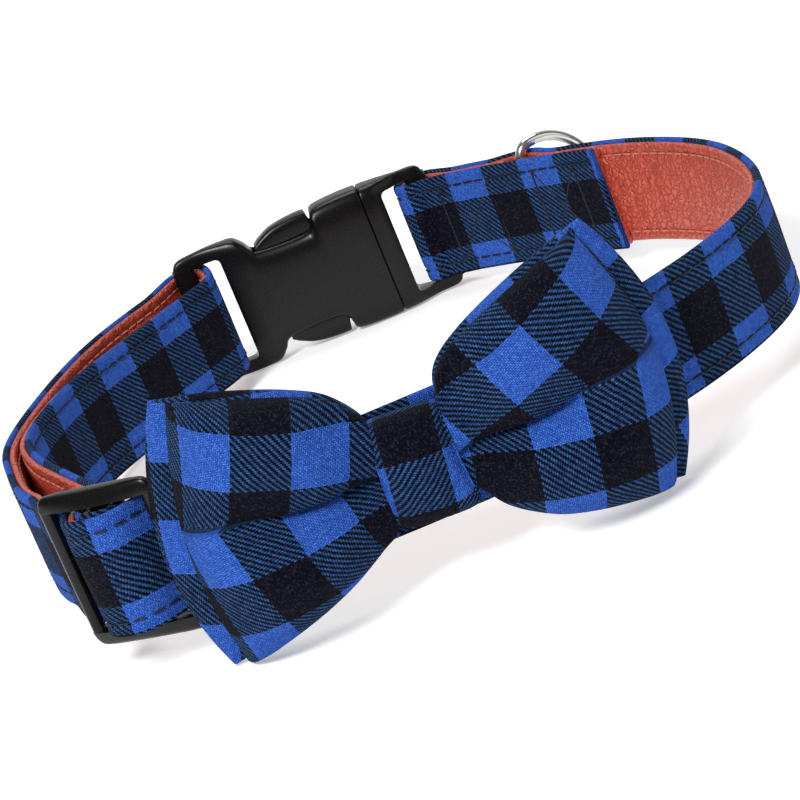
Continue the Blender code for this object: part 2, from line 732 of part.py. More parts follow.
def stand_on_floor(collar):
    """Leans the collar about x until its front and back touch the floor, and centres it on the origin."""
    points = world_points()
    y, z = points[:, 1], points[:, 2]
    front = y < 0
    low, high = -MOST_LEAN, MOST_LEAN
    for _ in range(HALVINGS):
        lean = (low + high) / 2
        height = y * math.sin(lean) + z * math.cos(lean)
        if height[front].min() > height[~front].min():
            low = lean
        else:
            high = lean
    collar.rotation_euler = (lean, 0, 0)
    points = world_points()
    low_corner, high_corner = points.min(axis=0), points.max(axis=0)
    centre = (low_corner + high_corner) / 2
    collar.location = (-centre[0], -centre[1], -low_corner[2])
    bpy.context.view_layer.update()
    print("lean", round(math.degrees(lean), 3), "shift", [round(v * 1000, 3) for v in collar.location])


def main():
    for obj in list(bpy.data.objects):
        bpy.data.objects.remove(obj, do_unlink=True)
    collar = add_plain("collar", None, None)
    line = middle_line()
    slider = Slider(line)
    way = strap_way(line, slider)
    woven = strap(way, collar)
    plastic = buckle(collar)
    slider_frame(slider, plastic, collar)
    seat, bearing = leash_ring(line, collar)
    front = way[np.argmin(np.abs(way[:, 0]) + 1000 * (way[:, 1] > 0))]
    bow(front[1] - STRAP_THICK / 2, woven, collar)
    stand_on_floor(collar)
    print("ring seat", seat.round(3), "bearing", round(math.degrees(bearing), 2))
    print("strap length", round(lengths(way)[-1], 1), "slider", slider.centre.round(2), slider.half_length)


main()
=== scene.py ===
"""The looks of a pet bow tie collar: checked twill over a leather lining, a moulded side-release buckle,
a slider, a nickel leash ring and a folded bow.

Shapes are worked out in the collar's own frame, in millimetres: x along the buckle, y from the bow at the
front to the buckle at the back, z across the strap with 0 at its middle. stand() carries them to the place
where the collar rests on the floor.
"""

import json
import math

import bpy
import numpy as np
from mathutils import Matrix


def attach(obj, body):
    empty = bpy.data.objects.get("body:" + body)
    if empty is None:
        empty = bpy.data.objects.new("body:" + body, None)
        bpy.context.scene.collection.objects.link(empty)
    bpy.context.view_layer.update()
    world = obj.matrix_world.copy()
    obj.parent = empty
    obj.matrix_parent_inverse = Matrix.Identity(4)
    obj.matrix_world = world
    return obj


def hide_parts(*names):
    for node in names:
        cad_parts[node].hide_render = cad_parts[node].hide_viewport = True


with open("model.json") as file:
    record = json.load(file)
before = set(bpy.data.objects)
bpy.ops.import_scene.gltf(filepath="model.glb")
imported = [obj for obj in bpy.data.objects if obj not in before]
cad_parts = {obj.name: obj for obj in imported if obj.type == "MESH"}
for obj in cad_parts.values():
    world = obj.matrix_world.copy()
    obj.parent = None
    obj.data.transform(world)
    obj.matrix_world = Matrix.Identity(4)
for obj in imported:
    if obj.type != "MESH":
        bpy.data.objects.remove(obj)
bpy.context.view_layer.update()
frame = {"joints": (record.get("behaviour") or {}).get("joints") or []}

MM = 0.001
RANDOM = np.random.default_rng(7)

# Strap
STRAP_WIDTH = 25.0
FABRIC_THICK = 1.4
LINING_THICK = 1.1
LINING_INSET = 0.6
CLEARANCE = 0.3
STRAP_THICK = FABRIC_THICK + CLEARANCE + LINING_THICK
PAIR = STRAP_THICK + CLEARANCE
SQUARE = 11.1
CHECK_START = 10.0

# Loop, seen from above
LOOP_RADIUS = 84.0
LAP_LENGTH = 55.5
SOCKET_LEAVE = 10.0
SLIDER_BEARING = -132.0
SLIDER_TILT = math.radians(10.0)
SEWN_TAIL = 13.0
TAIL_LEAVE = 20.0
TAIL_POINTS = 3
LAP_POINTS = 12
WAY_STEP = 4.0
PLUG_LEAVE = 50.0
SOCKET_ARRIVE = 130.0
SLIDER_RUN_OUT_BARS = 3.0

# Buckle
BUCKLE_CENTRE_X = -7.4
SOCKET_LENGTH = 48.2
PLUG_LENGTH = 16.2
BUCKLE_HEIGHT = 32.6
BUCKLE_THICK = 10.4
SEAM_GAP = 0.4
BAR_WIDTH = 5.2
BAR_THICK = 3.4
SLOT_FREE = 3.4
SLOT_SIDE_GAP = 0.6
SHELL_WALL = 1.9
PRONG_THICK = 5.2
PRONG_WIDTH = 4.0
PRONG_REACH = 27.6
PRONG_ROOT_GAPS = 4.0
GUIDE_WIDTH = 6.0
GUIDE_SHARE = 0.66
GUIDE_CORNER = 0.8
PLUG_OFF_SEAM = 0.06
SLOT_CORNER = 1.2
ROOM_CORNER = 1.0
BUCKLE_ROUND_OVER = 0.45

# Slider
SLIDER_BAR = 4.0
SLIDER_BAR_THICK = 2.6
SLIDER_SIDE_BAR = 2.9
SLIDER_RAIL = 3.2
SLIDER_BELLY = 6.4
SLIDER_SLOT_SPARE = 1.1
SLIDER_SQUARENESS = 3.6
SLIDER_CORNER = 0.9
SLIDER_ROUND_OVER = 0.35

# Leash ring
RING_WIRE = 2.6
RING_SIDE_GAP = 0.5
RING_DEPTH = 19.5
RING_CORNER = 3.4
RING_STRAIGHT_CORNERS = 1.3
RING_ALONG = 29.5
RING_SWING = 62.0
TUNNEL_SPAN = 19.0

# Bow
BOW_CLOTH = 1.2
BOW_FRONT_PUFF = 9.4
BOW_BACK_PUFF = 6.0
BOW_WAIST_THICK = 3.0
BOW_SWEEP = 4.0
KNOT_CENTRE_X = -2.0
KNOT_HALF_WIDTH = 7.0
KNOT_HEIGHT = 22.0
KNOT_CLOTH = 1.3
KNOT_CROWN = 2.56
KNOT_LIFT = 1.1
KNOT_CHECK = (1.5, -6.5)
KNOT_SKEW = -0.10

BACK_SEAT = CLEARANCE + KNOT_CLOTH + CLEARANCE
SLOT = STRAP_THICK + CLEARANCE + SLOT_FREE
BAR_ROUTE = BAR_THICK / 2 + CLEARANCE + STRAP_THICK / 2
SOCKET_LEFT = BUCKLE_CENTRE_X - (SOCKET_LENGTH + SEAM_GAP + PLUG_LENGTH) / 2
SEAM_X = SOCKET_LEFT + SOCKET_LENGTH
PLUG_RIGHT = SEAM_X + SEAM_GAP + PLUG_LENGTH
PLUG_BAR = (PLUG_RIGHT - BAR_WIDTH, PLUG_RIGHT)
SOCKET_BAR = (SOCKET_LEFT, SOCKET_LEFT + BAR_WIDTH)
BUCKLE_Y = LOOP_RADIUS

LOOP_SHAPE = (
    # bearing_deg, reach_of_loop_radius
    (60.0, 0.950),
    (30.0, 0.912),
    (0.0, 0.962),
    (-30.0, 1.048),
    (-60.0, 1.004),
    (-90.0, 0.943),
    (-120.0, 1.034),
    (-135.0, 1.050),
    (-150.0, 1.022),
    (-165.0, 0.968),
    (-180.0, 0.942),
    (-210.0, 0.930),
    (-225.0, 0.978),
    (-240.0, 1.046),
)

LEFT_GAP = (
    # share_of_way_from_buckle, gap_of_strap_thick
    (0.040, 4.00),
    (0.140, 4.13),
    (0.280, 3.50),
    (0.395, 1.80),
    (0.490, 0.95),
    (0.640, 0.64),
    (0.764, 1.25),
    (0.900, 2.35),
)

SOCKET_SHAPE = (
    # share_of_length, share_of_half_height, share_of_half_thick
    (0.000, 0.74, 0.26),
    (0.012, 0.88, 0.327),
    (0.045, 0.97, 0.327),
    (0.140, 1.00, 0.327),
    (0.270, 1.00, 0.56),
    (0.340, 0.97, 0.72),
    (0.385, 0.84, 0.80),
    (0.420, 0.72, 0.85),
    (0.700, 0.70, 0.96),
    (0.735, 0.80, 0.98),
    (0.760, 0.97, 1.00),
    (0.985, 1.00, 1.00),
    (1.000, 0.97, 0.94),
)

PLUG_SHAPE = (
    # share_of_length, share_of_half_height, share_of_half_thick
    (0.000, 0.96, 0.94),
    (0.020, 0.99, 1.00),
    (0.170, 0.99, 0.96),
    (0.420, 0.98, 0.60),
    (0.600, 0.97, 0.327),
    (0.900, 0.95, 0.327),
    (0.970, 0.90, 0.30),
    (1.000, 0.80, 0.22),
)

PRONG_SHAPE = (
    # share_of_reach, outer_edge_share_of_half_height, width_of_prong_width
    (0.00, 0.76, 1.0),
    (0.42, 0.78, 1.0),
    (0.47, 0.80, 1.0),
    (0.50, 0.97, 1.7),
    (0.62, 0.97, 1.7),
    (0.80, 0.93, 1.5),
    (0.93, 0.84, 1.1),
    (1.00, 0.76, 0.5),
)

SLIDER_SHAPE = (
    # share_of_half_length, share_of_half_height, share_of_half_belly
    (-1.00, 0.82, 0.41),
    (-0.97, 0.92, 0.44),
    (-0.90, 0.98, 0.52),
    (-0.70, 1.00, 0.70),
    (-0.35, 1.00, 0.92),
    (0.00, 1.00, 1.00),
    (0.35, 1.00, 0.92),
    (0.70, 1.00, 0.70),
    (0.90, 0.98, 0.52),
    (0.97, 0.92, 0.44),
    (1.00, 0.82, 0.41),
)

# The bow's two wings: where the top and bottom edges and the crease lie as a wing goes outwards
LEFT_WING = (
    # share, top_x, top_z, bottom_x, bottom_z, crease_z
    (0.00, -8.0, 11.0, -8.0, -5.0, 2.2),
    (0.04, -9.4, 14.5, -10.4, -9.0, 2.3),
    (0.14, -13.5, 19.5, -14.4, -11.2, 2.9),
    (0.30, -19.5, 23.0, -20.6, -14.4, 3.9),
    (0.50, -27.0, 26.0, -28.4, -17.6, 5.1),
    (0.75, -35.0, 28.4, -38.2, -21.0, 6.2),
    (1.00, -41.0, 29.5, -45.9, -23.7, 6.4),
)

RIGHT_WING = (
    # share, top_x, top_z, bottom_x, bottom_z, crease_z
    (0.00, 5.0, 11.0, 5.0, -5.0, 1.0),
    (0.04, 6.2, 15.4, 7.0, -8.0, 1.2),
    (0.12, 8.8, 18.6, 10.2, -12.4, 2.0),
    (0.28, 14.8, 22.2, 17.0, -16.9, 3.0),
    (0.50, 22.6, 25.4, 24.6, -19.4, 4.1),
    (0.75, 31.6, 28.4, 33.6, -21.4, 4.8),
    (1.00, 39.6, 30.5, 40.9, -23.1, 5.6),
)

WING_DEPTH = (
    # share_of_wing, share_of_puff
    (0.00, 0.00),
    (0.05, 0.01),
    (0.10, 0.04),
    (0.20, 0.27),
    (0.37, 0.78),
    (0.56, 1.00),
    (0.78, 0.96),
    (1.00, 0.80),
)

CREASE_DEPTH = (
    # share_of_wing, share_of_thickness
    (0.00, 0.50),
    (0.06, 0.80),
    (0.18, 0.88),
    (0.34, 0.90),
    (0.50, 0.84),
    (0.64, 0.60),
    (0.78, 0.28),
    (0.90, 0.08),
    (1.00, 0.00),
)

LEFT_LOBES = (
    # anchor_x, anchor_z, angle_deg, skew
    (-46.2, 17.3, -22.5, 0.0),
    (-49.6, -5.1, 3.5, 0.20),
)

RIGHT_LOBES = (
    # anchor_x, anchor_z, angle_deg, skew
    (18.4, 6.9, 25.0, 0.0),
    (18.1, -2.1, -8.5, 0.0),
)

# The back loop's wings are each one cut of cloth
LEFT_BACK_LOBES = ((-54.5, -1.5, -12.0, 0.0),) * 2
RIGHT_BACK_LOBES = ((43.5, -1.5, 12.0, 0.0),) * 2

# The camera, as fitted to the strap's edges in the photograph, in radians and millimetres
CAMERA_RAISED = 0.29011
CAMERA_ROLL = 0.39281
CAMERA_LENS = 134.78
CAMERA_SENSOR = 36.0
CAMERA_DISTANCE = 640.86
CAMERA_TARGET = (-1.073, 0.0, -12.08)

# The studio, in metres and watts
FLOOR_HALF_WIDTH = 4.0
FLOOR_FRONT = -8.0
FLOOR_BEND = 1.2
FLOOR_BEND_RADIUS = 0.8
FLOOR_TOP = 3.0
FLOOR_GLOW = 0.36
WORLD_GLOW = 0.15

LIGHTS = (
    # name, place, aim, size, power
    ("key", (-0.45, -0.75, 0.85), (0.0, -0.03, 0.02), 0.40, 12.5),
    ("fill", (0.85, -0.55, 0.55), (0.0, 0.0, 0.02), 0.8, 1.3),
    ("top", (0.1, 0.35, 0.95), (0.0, 0.02, 0.0), 0.6, 4.2),
)


def column(table, index):
    """One column of a table."""
    return np.array([row[index] for row in table])


def spline(points, per=10):
    """A centripetal Catmull-Rom curve through the points."""
    p = np.asarray(points, float)
    p = np.vstack([2 * p[0] - p[1], p, 2 * p[-1] - p[-2]])
    knots = np.r_[0, np.cumsum(np.sqrt(np.linalg.norm(np.diff(p, axis=0), axis=1)))]
    out = []
    for i in range(1, len(p) - 2):
        t0, t1, t2, t3 = knots[i - 1 : i + 3]
        t = np.linspace(t1, t2, per, endpoint=False)[:, None]
        a1 = (t1 - t) / (t1 - t0) * p[i - 1] + (t - t0) / (t1 - t0) * p[i]
        a2 = (t2 - t) / (t2 - t1) * p[i] + (t - t1) / (t2 - t1) * p[i + 1]
        a3 = (t3 - t) / (t3 - t2) * p[i + 1] + (t - t2) / (t3 - t2) * p[i + 2]
        b1 = (t2 - t) / (t2 - t0) * a1 + (t - t0) / (t2 - t0) * a2
        b2 = (t3 - t) / (t3 - t1) * a2 + (t - t1) / (t3 - t1) * a3
        out.append((t2 - t) / (t2 - t1) * b1 + (t - t1) / (t2 - t1) * b2)
    return np.vstack(out + [p[-2:-1]])


def smooth(table, at, per=12):
    """Every later column of the table on a smooth curve through its rows, at these values of the first."""
    line = spline(np.array(table), per)
    return [np.interp(at, line[:, 0], line[:, k]) for k in range(1, line.shape[1])]


def arc(centre, radius, start, end, step=20.0):
    """Points on a circle from one bearing to another, in degrees."""
    count = max(2, math.ceil(abs(end - start) / step) + 1)
    a = np.radians(np.linspace(start, end, count))
    return np.asarray(centre) + radius * np.stack([np.cos(a), np.sin(a)], axis=1)


def lengths(line):
    """How far along the line each of its points lies."""
    return np.r_[0, np.cumsum(np.linalg.norm(np.diff(line, axis=0), axis=1))]


def tangents(line):
    """The unit direction of the line at each of its points."""
    t = np.gradient(line, lengths(line), axis=0)
    return t / np.linalg.norm(t, axis=1)[:, None]


def outward(line):
    """The side that faces out of the loop, as the strap runs from the plug round to the socket."""
    t = tangents(line)
    return np.stack([-t[:, 1], t[:, 0]], axis=1)


def at_length_of(values, s, where):
    """Pairs of values given along a line of lengths s, read between them."""
    return np.stack([np.interp(where, s, values[:, k]) for k in (0, 1)], axis=-1)


def at_length(line, where):
    """Points of the line at these lengths along it."""
    return at_length_of(line, lengths(line), where)


def ease(low, high, at):
    """A smooth rise from 0 to 1 between two values."""
    t = np.clip((at - low) / (high - low), 0, 1)
    return t * t * (3 - 2 * t)


def bell(off, width):
    """exp(-(off / width)^2): 1 in the middle, falling away over the width."""
    return np.exp(-((off / width) ** 2))


def circle(count, start=0.0):
    """Bearings spread evenly round a circle, in radians."""
    return np.linspace(0, 2 * math.pi, count, endpoint=False) + start


def squared(wave, power):
    """sgn(w) |w|^power: a cosine or sine that squares up the outline it draws as the power falls."""
    return np.sign(wave) * np.abs(wave) ** power


# The strap's way, as the frame has it


def bar_ends(bar):
    """The middles of a bar's two round ends."""
    return np.array([[bar[0] + BAR_THICK / 2, BUCKLE_Y], [bar[1] - BAR_THICK / 2, BUCKLE_Y]])


def middle_line():
    """The line between the outer and inner plies, from the plug's bar round to the socket's."""
    bearing = np.radians(column(LOOP_SHAPE, 0))
    reach = LOOP_RADIUS * column(LOOP_SHAPE, 1)
    shape = np.stack([reach * np.cos(bearing), reach * np.sin(bearing)], axis=1)
    return spline(np.vstack([bar_ends(PLUG_BAR)[1:], shape, bar_ends(SOCKET_BAR)[:1]]), per=24)


class Slider:
    """The slider's place on the strap, and the sizes that the strap's thickness gives it."""

    def __init__(self, line):
        bearings = np.degrees(np.unwrap(np.arctan2(line[:, 1], line[:, 0])))
        here = np.argmin(np.abs(bearings - SLIDER_BEARING))
        self.at = lengths(line)[here]
        self.heading = math.atan2(*tangents(line)[here][::-1]) + SLIDER_TILT
        self.along = np.array([math.cos(self.heading), math.sin(self.heading)])
        self.out = np.array([-self.along[1], self.along[0]])
        self.bar_route = SLIDER_BAR_THICK / 2 + CLEARANCE + STRAP_THICK / 2
        self.centre = line[here] + (PAIR / 2 + self.bar_route) * self.out
        self.slot = 2 * STRAP_THICK + 3 * CLEARANCE + SLIDER_SLOT_SPARE
        self.half_length = SLIDER_BAR * 1.5 + self.slot
        self.roller = SLIDER_BAR / 2 + self.slot + SLIDER_BAR_THICK / 2
        self.inset = (SLIDER_BAR - SLIDER_BAR_THICK) / 2

    def place(self, local):
        """Points given as (along, out) from the slider's middle, in the collar's plan."""
        local = np.asarray(local)
        return self.centre + local[:, :1] * self.along + local[:, 1:] * self.out

    def local(self, points):
        """Points in the collar's plan given back as (along, out) from the slider's middle."""
        off = np.asarray(points) - self.centre
        return np.stack([off @ self.along, off @ self.out], axis=1)

    def over(self):
        """The way over the middle bar, on top of the sewn end, and behind a side bar."""
        middle = self.bar_route + PAIR
        lean = math.degrees(math.acos((middle + self.bar_route) / (self.roller - self.inset)))
        down = arc((self.inset, 0), middle, 90, lean)
        under = arc((self.roller, 0), self.bar_route, 180 + lean, 270)
        return np.vstack([down, under])


def outer_way(line, slider):
    """The outer ply, from the plug's bar to the socket's."""
    s = lengths(line)
    ring = (s - RING_ALONG) / (TUNNEL_SPAN / 2)
    bulge = (RING_WIRE + CLEARANCE) * np.clip(1 - ring**2, 0, 1) ** 1.5
    raised = line + (PAIR / 2 + bulge)[:, None] * outward(line)
    near = BAR_WIDTH + BAR_THICK
    reach = slider.half_length + SLIDER_BAR * SLIDER_RUN_OUT_BARS
    way = lengths(raised)
    before = at_length(raised, np.interp(np.arange(near, slider.at - reach, WAY_STEP), s, way))
    after = at_length(raised, np.interp(np.arange(slider.at + reach, s[-1] - near, WAY_STEP), s, way))
    left = np.vstack([slider.over(), [[slider.half_length, -slider.bar_route]]])
    right = (left * (-1, 1))[::-1]
    leave = arc(bar_ends(PLUG_BAR)[1], BAR_ROUTE, 90, PLUG_LEAVE)
    arrive = arc(bar_ends(SOCKET_BAR)[0], BAR_ROUTE, SOCKET_ARRIVE, 90)
    return np.vstack([leave, before, slider.place(right), slider.place(left), after, arrive])


def strap_way(line, slider):
    """The whole strap, from its sewn end by the leash ring to its sewn end on the slider's middle bar."""
    s = lengths(line)
    inner = line - PAIR / 2 * outward(line)
    near = BAR_WIDTH + BAR_THICK
    lap = at_length(inner, np.interp(np.linspace(LAP_LENGTH, near, LAP_POINTS), s, lengths(inner)))
    plug = bar_ends(PLUG_BAR)
    plug_under = arc(plug[1], BAR_ROUTE, 270, 270, 1)[:1]
    plug_turn = arc(plug[0], BAR_ROUTE, 270, 90)
    socket_turn = arc(bar_ends(SOCKET_BAR)[1], BAR_ROUTE, 90, SOCKET_LEAVE)

    left_end = slider.at + slider.half_length + SLIDER_BAR
    gap = column(LEFT_GAP, 1) * STRAP_THICK
    back = s[-1] - column(LEFT_GAP, 0) * (s[-1] - left_end)
    stand_off = at_length(line, back) - gap[:, None] * at_length_of(outward(line), s, back)

    bar = np.array([-slider.inset, 0.0])
    last = slider.local(stand_off[-1:])[0] - bar
    slack = math.acos(slider.bar_route / np.linalg.norm(last))
    touch = math.degrees(math.atan2(last[1], last[0]) - slack) % 360
    round_middle = slider.place(arc(bar, slider.bar_route, touch, 90))
    away = stand_off[-1] - round_middle[0]
    away = away / np.linalg.norm(away)
    aside = np.array([away[1], -away[0]]) * PAIR
    sewn = np.linspace(slider.slot, slider.slot + SEWN_TAIL, TAIL_POINTS)[:, None]
    tail_turn = slider.place(arc(-bar, slider.bar_route, 90, TAIL_LEAVE))
    tail = np.vstack([tail_turn, round_middle[0] - aside + sewn * away])
    outer = outer_way(line, slider)
    runs = [lap, plug_under, plug_turn, outer, socket_turn, stand_off, round_middle, tail]
    return spline(np.vstack(runs))


LINE = middle_line()
SLIDER = Slider(LINE)
WAY = strap_way(LINE, SLIDER)
FRONT_Y = WAY[np.argmin(np.abs(WAY[:, 0]) + 1000 * (WAY[:, 1] > 0))][1] - STRAP_THICK / 2
RING_HERE = np.argmin(np.abs(lengths(LINE) - RING_ALONG))
RING_SEAT = LINE[RING_HERE] + outward(LINE)[RING_HERE] * (RING_WIRE / 2 + CLEARANCE / 2)

RING_JOINT = frame["joints"][0]
LEAN = -math.asin(RING_JOINT["axis"][1])
COS, SIN = math.cos(LEAN), math.sin(LEAN)


def leaned(points):
    """Points or directions in millimetres, turned by the lean at which the collar stands, in metres."""
    x, y, z = np.moveaxis(np.asarray(points, float), -1, 0) * MM
    return np.stack([x, y * COS - z * SIN, y * SIN + z * COS], axis=-1)


SHIFT = np.array(RING_JOINT["pos_m"]) - leaned([*RING_SEAT, 0.0])


def stand(points):
    """Points of the collar's frame in millimetres, where the collar stands, in metres."""
    return leaned(points) + SHIFT


# Surfaces


def patch(points, uv=None, around=False, along=False, caps=False):
    """Quads over one or more grids of points, shaped (grids, rows, columns, 3): the surface P(row, column),
    closed round its columns or its rows, with flat end faces over its first and last rows."""
    grids = np.asarray(points, float)
    grids = grids.reshape(-1, *grids.shape[-3:])
    count, rows, cols = grids.shape[:3]
    index = np.arange(count * rows * cols).reshape(count, rows, cols)
    ends = np.concatenate([index[:, 0], index[:, -1, ::-1]]) if caps else np.zeros((0, cols), int)
    if along:
        index = np.concatenate([index, index[:, :1]], axis=1)
    if around:
        index = np.concatenate([index, index[:, :, :1]], axis=2)
    if uv is None:
        uv = np.zeros((*index.shape, 2))
    uv = np.broadcast_to(uv, (*index.shape, 2)).reshape(-1, 2)
    spot = np.arange(index.size).reshape(index.shape)

    def corners(grid):
        four = [grid[:, :-1, :-1], grid[:, 1:, :-1], grid[:, 1:, 1:], grid[:, :-1, 1:]]
        return np.stack(four, axis=-1).reshape(-1, 4)

    quads = corners(index)
    quad_uv = uv[corners(spot)]
    end_rows = [spot[:, 0, :cols], spot[:, -1, :cols][:, ::-1]]
    end_uv = uv[np.concatenate(end_rows)] if caps else np.zeros((0, cols, 2))
    flat = grids.reshape(-1, 3)
    p = flat[quads[: len(quads) // count]]
    size = np.einsum("ij,ij->i", p[:, 0], np.cross(p[:, 1], p[:, 2])).sum()
    size += np.einsum("ij,ij->i", p[:, 0], np.cross(p[:, 2], p[:, 3])).sum()
    for end in ends[::count] if caps else ():
        e = flat[end]
        size += np.einsum("ij,ij->i", np.broadcast_to(e[0], e[1:-1].shape), np.cross(e[1:-1], e[2:])).sum()
    if size < 0:
        quads, quad_uv, ends, end_uv = quads[:, ::-1], quad_uv[:, ::-1], ends[:, ::-1], end_uv[:, ::-1]
    return flat, quads, quad_uv, ends, end_uv


def mesh_from(name, patches, smooth_angle=50.0):
    """One mesh in metres, where the collar stands, from patches in the collar's frame."""
    flat, faces, uv, start = [], [], [], 0
    for points, quads, quad_uv, ends, end_uv in patches:
        flat.append(points)
        faces += (quads + start).tolist() + (ends + start).tolist()
        uv += [quad_uv.reshape(-1, 2), end_uv.reshape(-1, 2)]
        start += len(points)
    mesh = bpy.data.meshes.new(name)
    mesh.from_pydata(stand(np.vstack(flat)), [], faces)
    layer = mesh.uv_layers.new(name="cloth")
    layer.data.foreach_set("uv", (np.vstack(uv) * MM).ravel())
    mesh.shade_smooth()
    mesh.set_sharp_from_angle(angle=math.radians(smooth_angle))
    return mesh


def add(name, data):
    """A new object in the scene."""
    made = bpy.data.objects.new(name, data)
    bpy.context.scene.collection.objects.link(made)
    return made


def show(name, mesh, finish, body="collar", node=None):
    """A finished piece: its object at the origin, riding on its body and standing for its node."""
    obj = add(name, mesh)
    mesh.materials.clear()
    mesh.materials.append(finish)
    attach(obj, body)
    if node:
        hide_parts(node)
    return obj


def even_line(way, step, turn):
    """The way again, with a point for each step of length or turn in radians, and the length at each."""
    s = lengths(way)
    t = tangents(way)
    heading = np.unwrap(np.arctan2(t[:, 1], t[:, 0]))
    cost = np.r_[0, np.cumsum(np.diff(s) / step + np.abs(np.diff(heading)) / turn)]
    at = np.interp(np.linspace(0, cost[-1], math.ceil(cost[-1]) + 1), cost, s)
    return at_length_of(way, s, at), at


# Materials

# Colours in linear light, each from its darker tone to its lighter one
BLUE = ((0.010, 0.070, 0.46), (0.090, 0.260, 1.0))
HALF_BLUE = ((0.003, 0.030, 0.120), (0.052, 0.170, 0.440))
BLACK = ((0.002, 0.002, 0.004), (0.026, 0.023, 0.040))
CLOTH_SHADE = (0.0, 0.0, 0.02)
# Painted shade: the near-black that the twill's colour is pulled towards in the gaps between yarns
YARN_GAP_PAINTED_SHADE = (0.001, 0.002, 0.010)
CORAL = ((0.42, 0.044, 0.022), (0.66, 0.108, 0.056))
CORAL_GRAIN = (0.22, 0.018, 0.012)
PLASTIC_BLACK = ((0.0015, 0.0015, 0.0018), (0.004, 0.004, 0.0045))
NICKEL_GREY = ((0.66, 0.64, 0.60), (0.82, 0.80, 0.76))
NAVY_SEWING = ((0.002, 0.003, 0.010), (0.008, 0.011, 0.03))
CORAL_SEWING = ((0.30, 0.045, 0.030), (0.80, 0.30, 0.22))
PAPER_WHITE = ((0.88, 0.88, 0.88), (0.90, 0.90, 0.90))

YARN = 0.36
YARN_WANDER = 0.5
LEATHER_WANDER = 1.8


class Finish:
    """A material and the nodes that colour it."""

    def __init__(self, name):
        self.made = bpy.data.materials.new(name)
        self.made.use_nodes = True
        self.tree = self.made.node_tree
        self.shader = self.tree.nodes["Principled BSDF"]

    def node(self, kind, *values, **settings):
        """A node of this kind, its first inputs linked or set in turn."""
        made = self.tree.nodes.new(kind)
        for key, value in settings.items():
            setattr(made, key, value)
        for i, value in enumerate(values):
            if isinstance(value, bpy.types.NodeSocket):
                self.tree.links.new(value, made.inputs[i])
            elif value is not None:
                made.inputs[i].default_value = value
        return made

    def math(self, operation, *values):
        return self.node("ShaderNodeMath", *values, operation=operation).outputs[0]

    def vector(self, operation, *values):
        return self.node("ShaderNodeVectorMath", *values, operation=operation).outputs[0]

    def ramp(self, value, low, gain):
        """low + gain value, for a roughness that varies."""
        return self.math("ADD", low, self.math("MULTIPLY", value, gain))

    def mix(self, share, a, b):
        """A colour that goes from a to b as the share rises."""
        made = self.node("ShaderNodeMix", data_type="RGBA")
        for i, value in ((0, share), (6, a), (7, b)):
            if isinstance(value, bpy.types.NodeSocket):
                self.tree.links.new(value, made.inputs[i])
            else:
                made.inputs[i].default_value = value if i == 0 else (*value, 1.0)
        return made.outputs[2]

    def noise(self, where, scale, detail=2.0, roughness=0.5):
        """Soft noise at this many features to a metre."""
        made = self.node("ShaderNodeTexNoise", where)
        made.inputs["Scale"].default_value = scale
        made.inputs["Detail"].default_value = detail
        made.inputs["Roughness"].default_value = roughness
        return made

    def place(self):
        """The point on the object, in metres."""
        return self.node("ShaderNodeTexCoord").outputs["Object"]

    def cloth(self):
        """The point on the flat cloth, in metres."""
        return self.node("ShaderNodeUVMap", uv_map="cloth").outputs[0]

    def bump(self, height, strength, distance):
        """The surface's direction, tilted by a height from 0 to 1 over this distance in metres."""
        made = self.node("ShaderNodeBump")
        made.inputs["Strength"].default_value = strength
        made.inputs["Distance"].default_value = distance
        self.tree.links.new(height, made.inputs["Height"])
        return made.outputs[0]

    def set(self, **inputs):
        """The material, with these sockets of its shader set or linked."""
        for name, value in inputs.items():
            socket = self.shader.inputs[name.replace("_", " ")]
            if isinstance(value, bpy.types.NodeSocket):
                self.tree.links.new(value, socket)
            else:
                socket.default_value = value
        return self.made


